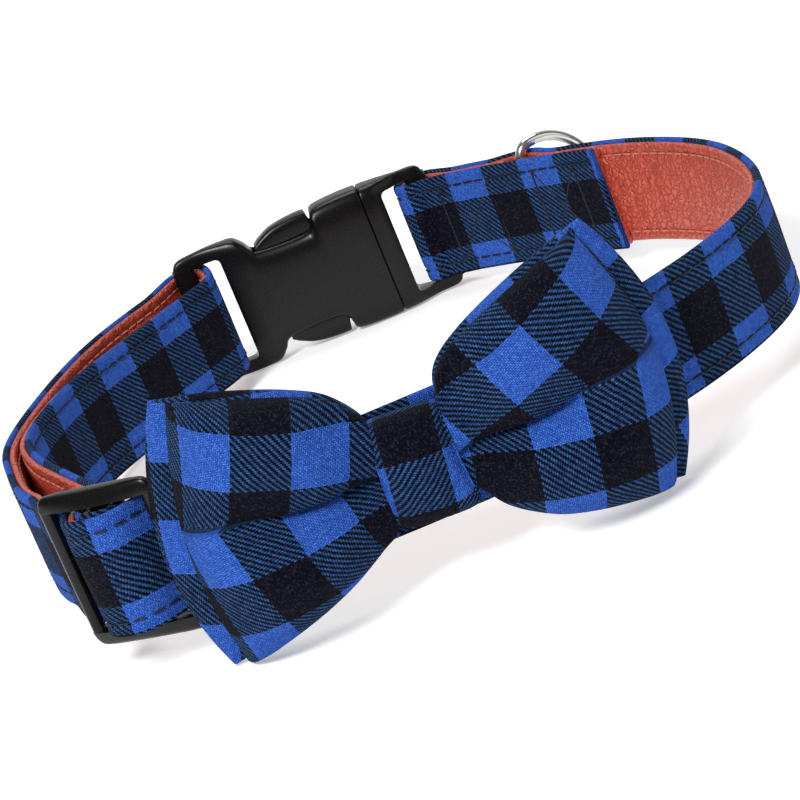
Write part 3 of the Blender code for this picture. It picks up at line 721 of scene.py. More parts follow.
def check_twill():
    """Two-and-two twill: warp yarns count along u and weft yarns along v, and each changes colour every
    square. A yarn shows over two others, rounded across itself and dipping at each end of that float."""
    f = Finish("check_twill")
    wander = f.noise(f.cloth(), 260.0).outputs["Color"]
    wander = f.vector("ADD", wander, (-0.5, -0.5, -0.5))
    wander = f.vector("MULTIPLY", wander, (YARN_WANDER * MM, YARN_WANDER * MM, 0.0))
    where = f.vector("ADD", f.cloth(), wander)
    parts = f.node("ShaderNodeSeparateXYZ", where)
    along, count, stripe, shade = [], [], [], []
    for i in (0, 1):
        place = parts.outputs[i]
        yarns = f.math("DIVIDE", place, YARN * MM)
        along.append(f.math("FRACT", yarns))
        count.append(f.math("FLOOR", yarns))
        square = f.math("FLOORED_MODULO", f.math("DIVIDE", place, 2 * SQUARE * MM), 1.0)
        stripe.append(f.math("LESS_THAN", square, 0.5))
        rand = f.node("ShaderNodeTexWhiteNoise", noise_dimensions="1D")
        f.tree.links.new(f.math("ADD", count[i], 0.37 + i), rand.inputs["W"])
        shade.append(rand.outputs["Value"])
    phase = f.math("FLOORED_MODULO", f.math("ADD", count[0], count[1]), 4.0)
    over = f.math("LESS_THAN", phase, 1.5)
    under = f.math("SUBTRACT", 1.0, over)

    def chosen(pair):
        return f.math("ADD", f.math("MULTIPLY", pair[0], over), f.math("MULTIPLY", pair[1], under))

    def hump(value, power):
        return f.math("SUBTRACT", 1.0, f.math("POWER", f.math("ABSOLUTE", value), power))

    speck = f.node("ShaderNodeTexWhiteNoise", noise_dimensions="2D")
    cell = f.node("ShaderNodeCombineXYZ", count[0], count[1], 0.0)
    f.tree.links.new(cell.outputs[0], speck.inputs["Vector"])
    speck = speck.outputs["Value"]
    blue = chosen(stripe)
    own = chosen(shade)
    both = f.math("MULTIPLY", stripe[0], stripe[1])
    fuzz = f.noise(f.cloth(), 2600.0, 3.0, 0.7).outputs["Fac"]
    cloudy = f.noise(f.cloth(), 90.0).outputs["Fac"]
    deep = f.mix(both, HALF_BLUE[0], BLUE[0])
    bright = f.mix(both, HALF_BLUE[1], BLUE[1])
    dark = f.mix(f.math("POWER", speck, 4.0), *BLACK)
    tone = f.math("MULTIPLY_ADD", f.math("POWER", speck, 1.5), 0.60, f.math("MULTIPLY", fuzz, 0.35))
    tone = f.math("MULTIPLY_ADD", own, 0.20, tone)
    colour = f.mix(blue, dark, f.mix(tone, deep, bright))
    colour = f.mix(f.math("MULTIPLY", cloudy, 0.16), colour, CLOTH_SHADE)
    crown = [hump(f.math("MULTIPLY_ADD", a, 2.0, -1.0), 2.0) for a in along]
    run = f.math("ADD", f.math("MULTIPLY_ADD", under, -2.0, phase), chosen(along[::-1]))
    raised = f.math("MULTIPLY", chosen(crown), hump(f.math("SUBTRACT", run, 1.0), 4.0))
    # Painted shade: the colour darkens where a yarn dips between its neighbours and at its sides, where
    # shade falls in the weave
    gap = f.math("MULTIPLY", f.math("SUBTRACT", 1.0, raised), 0.72)
    colour = f.mix(gap, colour, YARN_GAP_PAINTED_SHADE)
    weave = f.math("ADD", raised, f.math("MULTIPLY", fuzz, 0.9))
    normal = f.bump(weave, strength=0.8, distance=0.00022)
    f.set(Sheen_Weight=0.02, Sheen_Roughness=0.5, Specular_IOR_Level=0.05)
    return f.set(Base_Color=colour, Roughness=0.92, Normal=normal)


def coral_leather():
    """Grained leather: plates between fine grooves whose lines wander, lumps, and folds along the strap's
    width, with its colour darker in the grooves and its polish broken by the folds."""
    f = Finish("coral_leather")
    place = f.place()
    wander = f.noise(place, 520.0).outputs["Color"]
    wander = f.vector("MULTIPLY", wander, (LEATHER_WANDER * MM,) * 3)
    wander = f.vector("ADD", place, wander)
    grain = f.node("ShaderNodeTexVoronoi", wander, feature="DISTANCE_TO_EDGE")
    grain.inputs["Scale"].default_value = 620.0
    plate = f.math("MINIMUM", f.math("MULTIPLY", grain.outputs["Distance"], 5.0), 1.0)
    lump = f.noise(place, 320.0, 3.0).outputs["Fac"]
    folds = f.node("ShaderNodeMapping", place)
    folds.inputs["Scale"].default_value = (1.0, 1.0, 0.12)
    fold = f.noise(folds.outputs[0], 240.0, 3.0, 0.6).outputs["Fac"]
    relief = f.math("ADD", lump, f.math("MULTIPLY", fold, 1.1))
    relief = f.math("ADD", f.math("MULTIPLY", plate, 0.35), relief)
    colour = f.mix(f.math("MULTIPLY", lump, 0.9), *CORAL)
    groove = f.math("SUBTRACT", 1.0, plate)
    colour = f.mix(f.math("MULTIPLY", groove, 0.3), colour, CORAL_GRAIN)
    normal = f.bump(relief, strength=1.0, distance=0.0008)
    f.set(Base_Color=colour, Roughness=f.ramp(fold, 0.20, 0.26))
    return f.set(Normal=normal, Specular_IOR_Level=0.48)


def black_plastic():
    """Moulded plastic with a fine spark-eroded skin and slightly uneven black."""
    f = Finish("black_plastic")
    place = f.place()
    fine = f.noise(place, 2200.0, 3.0, 0.6).outputs["Fac"]
    cloud = f.noise(place, 55.0).outputs["Fac"]
    f.set(Base_Color=f.mix(cloud, *PLASTIC_BLACK), Roughness=f.ramp(fine, 0.17, 0.22))
    normal = f.bump(fine, strength=0.16, distance=0.00008)
    return f.set(Normal=normal, Specular_IOR_Level=0.27)


def nickel_wire():
    """Plated wire, polished, with faint marks of use."""
    f = Finish("nickel_wire")
    place = f.place()
    fine = f.noise(place, 900.0, 3.0, 0.6).outputs["Fac"]
    cloud = f.noise(place, 120.0).outputs["Fac"]
    f.set(Base_Color=f.mix(cloud, *NICKEL_GREY), Metallic=1.0, Roughness=f.ramp(fine, 0.12, 0.14))
    return f.set(Normal=f.bump(fine, strength=0.05, distance=0.0001))


def thread(name, low, high):
    """Twisted sewing thread, with its turns running across it."""
    f = Finish(name)
    turns = f.noise(f.place(), 3800.0, 1.0).outputs["Fac"]
    normal = f.bump(turns, strength=0.5, distance=0.0001)
    return f.set(Base_Color=f.mix(turns, low, high), Roughness=0.55, Normal=normal, Specular_IOR_Level=0.35)


TWILL = check_twill()
LEATHER = coral_leather()
PLASTIC = black_plastic()
NICKEL = nickel_wire()
DARK_THREAD = thread("navy_thread", *NAVY_SEWING)
CORAL_THREAD = thread("coral_thread", *CORAL_SEWING)


# Strap

STITCH_IN = 3.0
STITCH_LONG = 2.7
STITCH_PITCH = 3.3
STITCH_THICK = 0.5
STITCH_GROOVE = 0.6
STITCH_AHEAD = 0.3
LAP_PITCH = 2.4
LAP_BOXES = ((27.0, 38.5), (48.0, 56.5))
END_MARGIN = 1.5
THREAD_SINK = 0.08
LINING_SINK = 0.02

# A stitch shows as a rod of so many rings and sides, cut off this far from its pointed ends, in radians
ROD_RINGS = 6
ROD_SIDES = 8
ROD_END = 0.28

BAND_STEP = 1.3
BAND_TURN = math.radians(7.0)
FACE_COLUMNS = 49
EDGE_COLUMNS = 9
PLY_OVERLAP = 0.06

# Slow swells along a band's face: their lengths, a full turn, and the most that phase and skew are drawn to
RIPPLE_WAVES = (61.0, 23.0, 9.0, 4.3)
RIPPLE_TURN = 6.283
RIPPLE_PHASE = 6.28
RIPPLE_SKEW = 1.5


def band_section(half, low, high, puff, dip, dip_in):
    """A flat band's outline (across, out): its outer face from -half to half, a round edge, its back, the
    other edge. out = high + puff(1 - (a/half)^2) - dip exp(-((|a| - half + dip_in) / groove)^2)."""
    radius = (high - low) / 2
    flat = half - radius
    a = np.linspace(-flat, flat, FACE_COLUMNS)
    face = high + puff * (1 - (a / half) ** 2) - dip * bell(np.abs(a) - half + dip_in, STITCH_GROOVE)
    turn = np.linspace(0, math.pi, EDGE_COLUMNS)[1:-1]
    across = flat + radius * np.sin(turn)
    out = (low + high) / 2 + radius * np.cos(turn)
    back = np.linspace(flat, -flat, EDGE_COLUMNS)
    section_a = np.r_[a, across, back, -across[::-1]]
    section_o = np.r_[face, out, np.full(EDGE_COLUMNS, low), out[::-1]]
    return section_a, section_o


def band(way, half, low, high, puff, dip, dip_in, ripple):
    """A band of cloth whose outline is carried along the way. Its face swells by
    ripple sin(turn s / wave + phase) summed over a few seeded waves, less for the shorter ones."""
    line, s = even_line(way, BAND_STEP, BAND_TURN)
    normal = outward(line)
    a, o = band_section(half, low, high, puff, dip, dip_in)
    face = (o > (low + high) / 2) & (np.abs(a) < half - (high - low) / 2 + 0.01)
    swell = np.zeros((len(s), len(a)))
    for wave in RIPPLE_WAVES:
        phase = RANDOM.uniform(0, RIPPLE_PHASE)
        skew = RANDOM.uniform(-RIPPLE_SKEW, RIPPLE_SKEW)
        rise = ripple * math.sqrt(wave / RIPPLE_WAVES[0])
        swell += rise * np.sin(RIPPLE_TURN * s[:, None] / wave + phase + skew * a / half)
    swell *= face * (1 - (a / half) ** 4)
    out = o + swell
    x = line[:, :1] + out * normal[:, :1]
    y = line[:, 1:] + out * normal[:, 1:]
    z = np.broadcast_to(a, x.shape)
    round_it = np.r_[0, np.cumsum(np.hypot(np.diff(np.r_[a, a[0]]), np.diff(np.r_[o, o[0]])))]
    across = 1.5 * SQUARE - (round_it - half + (high - low) / 2)
    across = np.broadcast_to(across, (len(s), len(a) + 1))
    uv = np.stack([np.broadcast_to(s[:, None] + CHECK_START, across.shape), across], axis=-1)
    return patch(np.stack([x, y, z], axis=-1), uv, around=True, caps=True)


def threads(centres, along, up):
    """Sewing thread showing as small rods: P(t, a) = c - long/2 cos(t) along + r (cos(a) up + sin(a) side),
    with r = thick/2 sin(t)^0.5."""
    t = np.linspace(ROD_END, math.pi - ROD_END, ROD_RINGS)
    a = circle(ROD_SIDES)
    along = along / np.linalg.norm(along, axis=1)[:, None]
    side = np.cross(along, up)
    side = side / np.linalg.norm(side, axis=1)[:, None]
    up = np.cross(side, along)
    reach = (-STITCH_LONG / 2 * np.cos(t))[None, :, None, None] * along[:, None, None]
    radius = (STITCH_THICK / 2 * np.sin(t) ** 0.5)[None, :, None, None]
    round_it = np.cos(a)[:, None] * up[:, None, None] + np.sin(a)[:, None] * side[:, None, None]
    return patch(centres[:, None, None] + reach + radius * round_it, around=True, caps=True)


def run_of_stitches(corners, offset, way, pitch=STITCH_PITCH):
    """Stitches along straight runs between (length along the way, across) corners, at an offset from it."""
    s = lengths(way)
    normal = outward(way)

    def spot(places):
        out = at_length_of(normal, s, places[:, 0])
        flat = at_length_of(way, s, places[:, 0]) + offset * out
        return np.column_stack([flat, places[:, 1]]), np.column_stack([out, np.zeros(len(out))])

    found = []
    for start, end in zip(corners[:-1], corners[1:]):
        start, end = np.array(start), np.array(end)
        count = max(1, round(np.linalg.norm(end - start) / pitch))
        share = (np.arange(count) + 0.5) / count
        at = start + share[:, None] * (end - start)
        step = (end - start) / np.linalg.norm(end - start)
        middle, up = spot(at)
        ahead, _ = spot(at + STITCH_AHEAD * step)
        found.append(threads(middle, ahead - middle, up))
    return found


def strap():
    """The woven face, the lining behind it and the thread that joins them."""
    half = STRAP_WIDTH / 2
    face = STRAP_THICK / 2
    woven = band(WAY, half, -PLY_OVERLAP, face, puff=0.16, dip=0.32, dip_in=STITCH_IN, ripple=0.10)
    show("strap_face", mesh_from("strap_face", [woven]), TWILL, node="strap_fabric")
    inner = half - LINING_INSET
    groove_in = STITCH_IN - LINING_INSET
    lining = band(WAY[::-1], inner, 0.0, face, puff=0.22, dip=0.34, dip_in=groove_in, ripple=0.14)
    mesh = mesh_from("strap_leather", [lining])
    show("strap_leather", mesh, LEATHER, node="strap_lining")

    s = lengths(WAY)
    edge = half - STITCH_IN
    dark, coral = [], []
    for side in (-edge, edge):
        run = [(END_MARGIN, side), (s[-1] - END_MARGIN, side)]
        dark += run_of_stitches(run, face - THREAD_SINK, WAY)
        coral += run_of_stitches(run, -(face - LINING_SINK), WAY)
    behind = (WAY[:, 1] > 0) & (WAY[:, 0] > PLUG_BAR[0])
    for ply in (behind & (s < LAP_LENGTH), behind & (s > LAP_LENGTH) & (s < LAP_LENGTH * 3)):
        order = np.argsort(WAY[ply, 0])
        for box in LAP_BOXES:
            a, b = np.interp(box, WAY[ply, 0][order], s[ply][order])
            corners = [(a, -edge), (a, edge), (b, -edge), (b, edge), (a, -edge)]
            dark += run_of_stitches(corners, face + THREAD_SINK, WAY, LAP_PITCH)
    show("strap_stitches", mesh_from("strap_stitches", dark), DARK_THREAD)
    show("lining_stitches", mesh_from("lining_stitches", coral), CORAL_THREAD)


# Buckle, slider and ring

BAR_ROUNDNESS = 0.92
SMOOTH_BELOW = 38.0
ROUND_OVER_ABOVE = 34.0
ROUND_OVER_STEPS = 3
PRONG_RINGS = 60
PRONG_SIDES = 28
PRONG_SQUARE_HIGH = 0.55
PRONG_SQUARE_THICK = 0.4
WIRE_SIDES = 24
RING_BOW_POINTS = 61
RING_SIDE_POINTS = 14


def loft(table, length, half_height, half_thick, squareness=5.0, x0=0.0, sides=72, rows=90):
    """Rounded-rectangle sections along x: (x, y, z) = (x, h_t(x) sgn|sin|^(2/n), h_h(x) sgn|cos|^(2/n))."""
    low, high = table[0][0], table[-1][0]
    ends = (1 - np.cos(np.linspace(0, math.pi, rows))) / 2
    at = np.unique(np.r_[low + (high - low) * ends, column(table, 0)])
    tall, thick = smooth(table, at)
    turn = circle(sides, math.pi / sides)
    z = tall[:, None] * half_height * squared(np.cos(turn), 2 / squareness)
    y = thick[:, None] * half_thick * squared(np.sin(turn), 2 / squareness)
    x = x0 + at[:, None] * length + 0 * z
    return patch(np.stack([x, y, z], axis=-1), around=True, caps=True)


def rounded_box(low, high, radius, steps=5):
    """A block with its four long corners, along y, rounded: corner (half - radius) + radius (cos, sin)."""
    low, high = np.array(low, float), np.array(high, float)
    a = np.concatenate([np.linspace(q, q + 90, steps + 1) for q in (0, 90, 180, 270)])
    a = np.radians(a)
    corner = np.repeat([[1, 1], [-1, 1], [-1, -1], [1, -1]], steps + 1, axis=0)
    half = np.array([(high[0] - low[0]) / 2, (high[2] - low[2]) / 2])
    flat = corner * (half - radius) + radius * np.stack([np.cos(a), np.sin(a)], axis=1)
    middle = (low + high) / 2
    x = middle[0] + flat[:, 0]
    z = middle[2] + flat[:, 1]
    rows = [np.stack([x, np.full(len(x), y), z], axis=1) for y in (low[1], high[1])]
    return patch(np.array(rows), around=True, caps=True)


def bar_piece(low, high, thick, half_span, sides=24):
    """A bar along z between two x values, its outline sgn(cos, sin) (cx, cy) + radius (cos, sin)."""
    radius = thick / 2 * BAR_ROUNDNESS
    a = circle(sides, math.pi / sides)
    cx = (high - low) / 2 - radius
    cy = thick / 2 - radius
    x = (low + high) / 2 + np.sign(np.cos(a)) * cx + radius * np.cos(a)
    y = np.sign(np.sin(a)) * cy + radius * np.sin(a)
    rows = [np.stack([x, y, np.full(sides, z)], axis=1) for z in (-half_span, half_span)]
    return patch(np.array(rows), around=True, caps=True)


def placed(made, turn, at):
    """A patch turned about z and moved in the collar's frame."""
    flat, *rest = made
    c, s = math.cos(turn), math.sin(turn)
    x, y, z = flat.T
    return (np.stack([x * c - y * s + at[0], x * s + y * c + at[1], z], axis=1), *rest)


def carved(name, base, steps, round_over):
    """The base patch with others cut from it or joined to it in turn, and its sharp edges rounded over."""
    body = add(name, mesh_from(name, [base], SMOOTH_BELOW))
    helpers = []
    for i, (operation, other) in enumerate(steps):
        helper = add(f"{name}_{i}", mesh_from(f"{name}_{i}", [other]))
        helpers.append(helper)
        modifier = body.modifiers.new(helper.name, "BOOLEAN")
        modifier.operation = operation
        modifier.solver = "EXACT"
        modifier.object = helper
    edge = body.modifiers.new("round_over", "BEVEL")
    edge.width = round_over * MM
    edge.segments = ROUND_OVER_STEPS
    edge.limit_method = "ANGLE"
    edge.angle_limit = math.radians(ROUND_OVER_ABOVE)
    edge.use_clamp_overlap = True
    edge.harden_normals = False
    graph = bpy.context.evaluated_depsgraph_get()
    mesh = bpy.data.meshes.new_from_object(body.evaluated_get(graph), depsgraph=graph)
    for helper in [body, *helpers]:
        bpy.data.objects.remove(helper, do_unlink=True)
    mesh.name = name
    mesh.shade_smooth()
    mesh.set_sharp_from_angle(angle=math.radians(SMOOTH_BELOW))
    return mesh


def prong(side):
    """One sprung arm with its barb: squared sections along x whose outer edge and width follow the prong's
    table, (y, z) = (thick/2 sgn|sin|^p, middle + width/2 sgn|cos|^q)."""
    rows = np.linspace(0, 1, PRONG_RINGS)
    outer, wide = smooth(PRONG_SHAPE, rows)
    x = np.where(rows > 0, -rows * PRONG_REACH, SEAM_GAP * PRONG_ROOT_GAPS)
    mid = (outer * BUCKLE_HEIGHT / 2 - wide * PRONG_WIDTH / 2) * side
    a = circle(PRONG_SIDES, math.pi / PRONG_SIDES)
    z = mid[:, None] + (wide * PRONG_WIDTH / 2)[:, None] * squared(np.cos(a), PRONG_SQUARE_HIGH)
    y = PRONG_THICK / 2 * squared(np.sin(a), PRONG_SQUARE_THICK) + 0 * z
    return patch(np.stack([x[:, None] + 0 * z, y, z], axis=-1), around=True, caps=True)


def buckle():
    """The two halves, each a lofted shell with a slot cut for the strap and a bar across it. The socket has
    room for the prongs, and the plug has its two prongs and the guide between them."""
    half_height = BUCKLE_HEIGHT / 2
    half_thick = BUCKLE_THICK / 2
    window = STRAP_WIDTH / 2 + SLOT_SIDE_GAP

    def half(name, node, table, length, start, bar, slot_past, more):
        low, high = bar[0] - SEAM_X, bar[1] - SEAM_X
        body = loft(table, length, half_height, half_thick, x0=start)
        slot_low = (low - slot_past[0], -BUCKLE_THICK, -window)
        slot_high = (high + slot_past[1], BUCKLE_THICK, window)
        across = bar_piece(low, high, BAR_THICK, window + SLOT_SIDE_GAP)
        steps = [("DIFFERENCE", rounded_box(slot_low, slot_high, SLOT_CORNER)), ("UNION", across), *more]
        spot = (SEAM_X, BUCKLE_Y)
        steps = [(operation, placed(other, 0, spot)) for operation, other in steps]
        mesh = carved(name, placed(body, 0, spot), steps, BUCKLE_ROUND_OVER)
        show(name, mesh, PLASTIC, node=node)

    room_low = (-PRONG_REACH - SEAM_GAP * 2, -PRONG_THICK / 2 - SEAM_GAP, SHELL_WALL - half_height)
    room_high = (half_thick, PRONG_THICK / 2 + SEAM_GAP, half_height - SHELL_WALL)
    room = rounded_box(room_low, room_high, ROOM_CORNER)
    ends = (SOCKET_LENGTH, -SOCKET_LENGTH, SOCKET_BAR, (BAR_WIDTH, SLOT))
    half("socket_shell", "buckle_socket", SOCKET_SHAPE, *ends, [("DIFFERENCE", room)])

    guide_low = (-PRONG_REACH * GUIDE_SHARE, -PRONG_THICK / 2, -GUIDE_WIDTH / 2)
    guide_high = (SEAM_GAP * PRONG_ROOT_GAPS, PRONG_THICK / 2, GUIDE_WIDTH / 2)
    guide = rounded_box(guide_low, guide_high, GUIDE_CORNER)
    joined = [("UNION", piece) for piece in (prong(1), prong(-1), guide)]
    ends = (PLUG_LENGTH, PLUG_OFF_SEAM, PLUG_BAR, (SLOT, BAR_WIDTH))
    half("plug_and_prongs", "buckle_plug", PLUG_SHAPE, *ends, joined)


def slider_frame():
    """The slider's lens-shaped frame, cut through, with three bars across it."""
    window = STRAP_WIDTH / 2 + SLOT_SIDE_GAP
    half_height = window + SLIDER_RAIL
    turn, at = SLIDER.heading, SLIDER.centre
    body = loft(SLIDER_SHAPE, SLIDER.half_length, half_height, SLIDER_BELLY / 2, SLIDER_SQUARENESS)
    long = 2 * SLIDER.half_length
    hole = rounded_box((-long, -SLIDER_BELLY, -window), (long, SLIDER_BELLY, window), SLIDER_CORNER)
    steps = [("DIFFERENCE", hole)]
    reach = SLIDER.half_length - SLIDER_SIDE_BAR / 2
    for x, wide in ((-reach, SLIDER_SIDE_BAR), (0, SLIDER_BAR), (reach, SLIDER_SIDE_BAR)):
        ends = (x - wide / 2, x + wide / 2)
        steps.append(("UNION", bar_piece(*ends, SLIDER_BAR_THICK, window + SLOT_SIDE_GAP)))
    steps = [(operation, placed(other, turn, at)) for operation, other in steps]
    mesh = carved("slider_frame", placed(body, turn, at), steps, SLIDER_ROUND_OVER)
    show("slider_frame", mesh, PLASTIC, node="slider")


def leash_ring():
    """A bent round wire: a straight side in the strap and a bow beyond it. Its surface is
    P(t, a) = outline(t) + r (cos(a) side(t) + sin(a) y)."""
    along = tangents(LINE)[RING_HERE]
    bearing = math.atan2(along[1], along[0]) + math.radians(RING_SWING)
    half = STRAP_WIDTH / 2 + RING_SIDE_GAP + RING_WIRE / 2
    depth = RING_DEPTH - RING_WIRE
    corner = arc((RING_CORNER, half - RING_CORNER), RING_CORNER, 180, 90, 8)
    start = RING_CORNER * RING_STRAIGHT_CORNERS
    bow = np.radians(np.linspace(90, -90, RING_BOW_POINTS))
    sweep = np.stack([start + (depth - start) * np.cos(bow), half * np.sin(bow)], axis=1)
    outline = np.vstack([corner, sweep, (corner * (1, -1))[::-1]])
    straight = np.linspace(outline[-1], outline[0], RING_SIDE_POINTS)[1:-1]
    outline = np.vstack([outline, straight])
    t = np.roll(outline, -1, axis=0) - np.roll(outline, 1, axis=0)
    t = t / np.linalg.norm(t, axis=1)[:, None]
    a = circle(WIRE_SIDES)
    side = np.stack([t[:, 1], -t[:, 0]], axis=1)
    x = outline[:, :1] + RING_WIRE / 2 * np.cos(a) * side[:, :1]
    z = outline[:, 1:] + RING_WIRE / 2 * np.cos(a) * side[:, 1:]
    y = RING_WIRE / 2 * np.sin(a) + 0 * x
    wire = patch(np.stack([x, y, z], axis=-1), around=True, along=True)
    mesh = mesh_from("leash_ring", [placed(wire, bearing, RING_SEAT)])
    show("leash_ring", mesh, NICKEL, body="ring", node="d_ring")


# Bow

WING_COLUMNS = 110
WING_SPREAD = 1.15
WING_ROWS = 141
PEAK_RISE = 0.25
LEAST_SHARE = 0.8
WAIST_CALM = 5

# How a wing thins towards its top and bottom edges: (1 - |v|^power)^root
THINNING_ABOVE = (5, 0.6)
THINNING_BELOW = (2.8, 0.72)

LOBE_SWELL = (
    # middle_from_crease, half_height, share_of_rise
    (0.42, 0.46, 1.2),
    (-0.58, 0.5, 0.6),
)

# How far the crease reaches above and below its line, at the waist and added by the outer end
CREASE_ABOVE = (0.10, 0.20)
CREASE_BELOW = (0.19, 0.24)
CREASE_POWER = 1.5

# The upper lobe hangs over the crease, and is drawn tight again between these shares of the wing
HANG = 0.40
HANG_ENDS = (0.50, 0.82)
HANG_MIDDLE = 0.09
HANG_WIDTH = 0.11

# Where up the wing each cut of cloth is true, where the wing turns away from it, and how soon two cuts meet
LOBE_TRUE = (0.80, 0.25)
LOBE_TURN = (0.55, 0.85)
LOBE_MEET = (0.02, 0.025)

RIM = (
    # share_of_the_end_section, further_out
    (0.6, 0.30),
    (0.0, 0.42),
)

KNOT_COLUMNS = 41
KNOT_POINTS = 160
KNOT_SQUARE = 0.55
KNOT_ROLL = 1.5
KNOT_ROLL_BACK = 0.35
KNOT_ROLL_HIGH = 0.5
KNOT_ROLL_WIDE = 0.6
KNOT_BELLY = 0.5
KNOT_BELLY_TURN = 1.4
KNOT_TAPER = 0.05
KNOT_TILT = 0.07
KNOT_FOLD = 0.22
KNOT_FOLD_TURNS = 8.0
KNOT_FOLD_START = 0.9
KNOT_FOLD_LEAN = 0.05


def cloth_map(face, side, lobes, parting, drop):
    """Cloth coordinates of one face of a wing. Each lobe lies on its own flat cut of cloth, turned by its
    angle about its anchor A: u = (P - A).(cos, sin) + skew v, v = (P - A).(-sin, cos). Where the face turns
    away from that plane the extra length is added, so that the checks keep their size."""
    x, y, z = np.moveaxis(face, -1, 0)
    maps = []
    for (ax, az, angle, skew), true_at in zip(lobes, LOBE_TRUE):
        c, s = math.cos(math.radians(angle)), math.sin(math.radians(angle))
        u = (x - ax) * c + (z - az) * s
        v = -(x - ax) * s + (z - az) * c
        u = u + skew * v
        du = np.diff(u, axis=0)
        longer = np.hypot(du, np.diff(y, axis=0) * drop[1:, None]) - np.abs(du)
        u = u + side * np.vstack([0 * du[:1], np.cumsum(longer, axis=0)])
        steps = np.hypot(np.diff(v, axis=1), np.diff(y, axis=1))
        climb = np.hstack([0 * steps[:, :1], np.cumsum(steps, axis=1)])
        here = round((v.shape[1] - 1) * true_at)
        v = v[:, here : here + 1] + climb - climb[:, here : here + 1]
        maps.append(np.stack([u, v], axis=-1))
    return maps[1] + parting[..., None] * (maps[0] - maps[1])


def wing_thickness(share, puff):
    """How thick a wing is along its middle: it swells from the waist and thins to the outer fold."""
    swell = smooth(WING_DEPTH, share)[0]
    full = BOW_WAIST_THICK - BOW_CLOTH + (puff - BOW_WAIST_THICK) * swell
    return BOW_CLOTH + full * (1 - share**8) ** 0.5


def wing(table, side, lobes, bulge, puff, seat, peak=0.0, crease=0.0, lobe_rise=0.0):
    """One wing of a bow loop, whose two layers meet along its top, bottom and outer edges. Over its back it
    stands T(t) thick, thinning to nothing at those edges, less the crease between two lobes, over which the
    upper lobe hangs. t runs outwards from the waist, and v from the bottom edge to the top."""
    share = np.sin(np.linspace(0, math.pi / 2, WING_COLUMNS)) ** WING_SPREAD
    v = np.linspace(-1, 1, WING_ROWS)
    row = share[:, None]
    top_x, top_z, low_x, low_z, crease_z = (k[:, None] for k in smooth(table, share))
    parting = (2 * crease_z - top_z - low_z) / (top_z - low_z)
    high = (v + 1) / 2
    x = low_x + (top_x - low_x) * high + side * (bulge * row**3 * (1 - v**2) + peak * row**3)
    z = low_z + (top_z - low_z) * high + PEAK_RISE * peak * row**2 * np.clip(v, 0, 1) ** 3
    back = seat(share)[:, None] - BOW_SWEEP * row**2 + 0 * v

    thick = wing_thickness(share, puff)[:, None]
    above, below = [(1 - np.abs(v) ** power) ** root for power, root in (THINNING_ABOVE, THINNING_BELOW)]
    raised = BOW_CLOTH + (thick - BOW_CLOTH) * np.where(v > 0, above, below)
    off = v - parting
    calm = np.clip(row * WAIST_CALM, 0, 1) * (1 - row**3)
    swell = [rise * np.clip(1 - ((off - middle) / reach) ** 2, 0, 1) for middle, reach, rise in LOBE_SWELL]
    raised = raised + lobe_rise * calm * sum(swell)

    deep = crease * smooth(CREASE_DEPTH, share)[0][:, None] * thick
    above, below = [near + more * row for near, more in (CREASE_ABOVE, CREASE_BELOW)]
    tuck = np.exp(-((np.abs(off) / np.where(off > 0, above, below)) ** CREASE_POWER))
    raised = np.maximum(raised - deep * tuck, BOW_CLOTH * LEAST_SHARE)
    hang = HANG * (1 - ease(*HANG_ENDS, row))
    z_front = z - hang * deep * bell(off - HANG_MIDDLE, HANG_WIDTH)

    front = np.stack([x, FRONT_Y - back - raised, z_front], axis=-1)
    rear = np.stack([x, FRONT_Y - back, z], axis=-1)
    drop = ease(*LOBE_TURN, share)
    meet = LOBE_MEET[0] + LOBE_MEET[1] * row**4
    uv = cloth_map(front, side, lobes, ease(-meet, meet, off), drop)
    rear_uv = cloth_map(rear, side, lobes, ease(-1.0, 1.0, off), drop)[:, ::-2]
    ring = np.concatenate([front, rear[:, ::-2]], axis=1)
    ring_uv = np.concatenate([uv, rear_uv, uv[:, :1]], axis=1)
    middle = (ring[-1] + np.concatenate([rear[-1], front[-1, ::-2]])) / 2
    for narrow, further in RIM:
        edge = middle + narrow * (ring[-1:] - middle)[0] + np.array([side * further, 0, 0])
        ring = np.concatenate([ring, edge[None]], axis=0)
        ring_uv = np.concatenate([ring_uv, ring_uv[-1:] + np.array([side * further, 0])], axis=0)
    return patch(ring, ring_uv, around=True, caps=True)


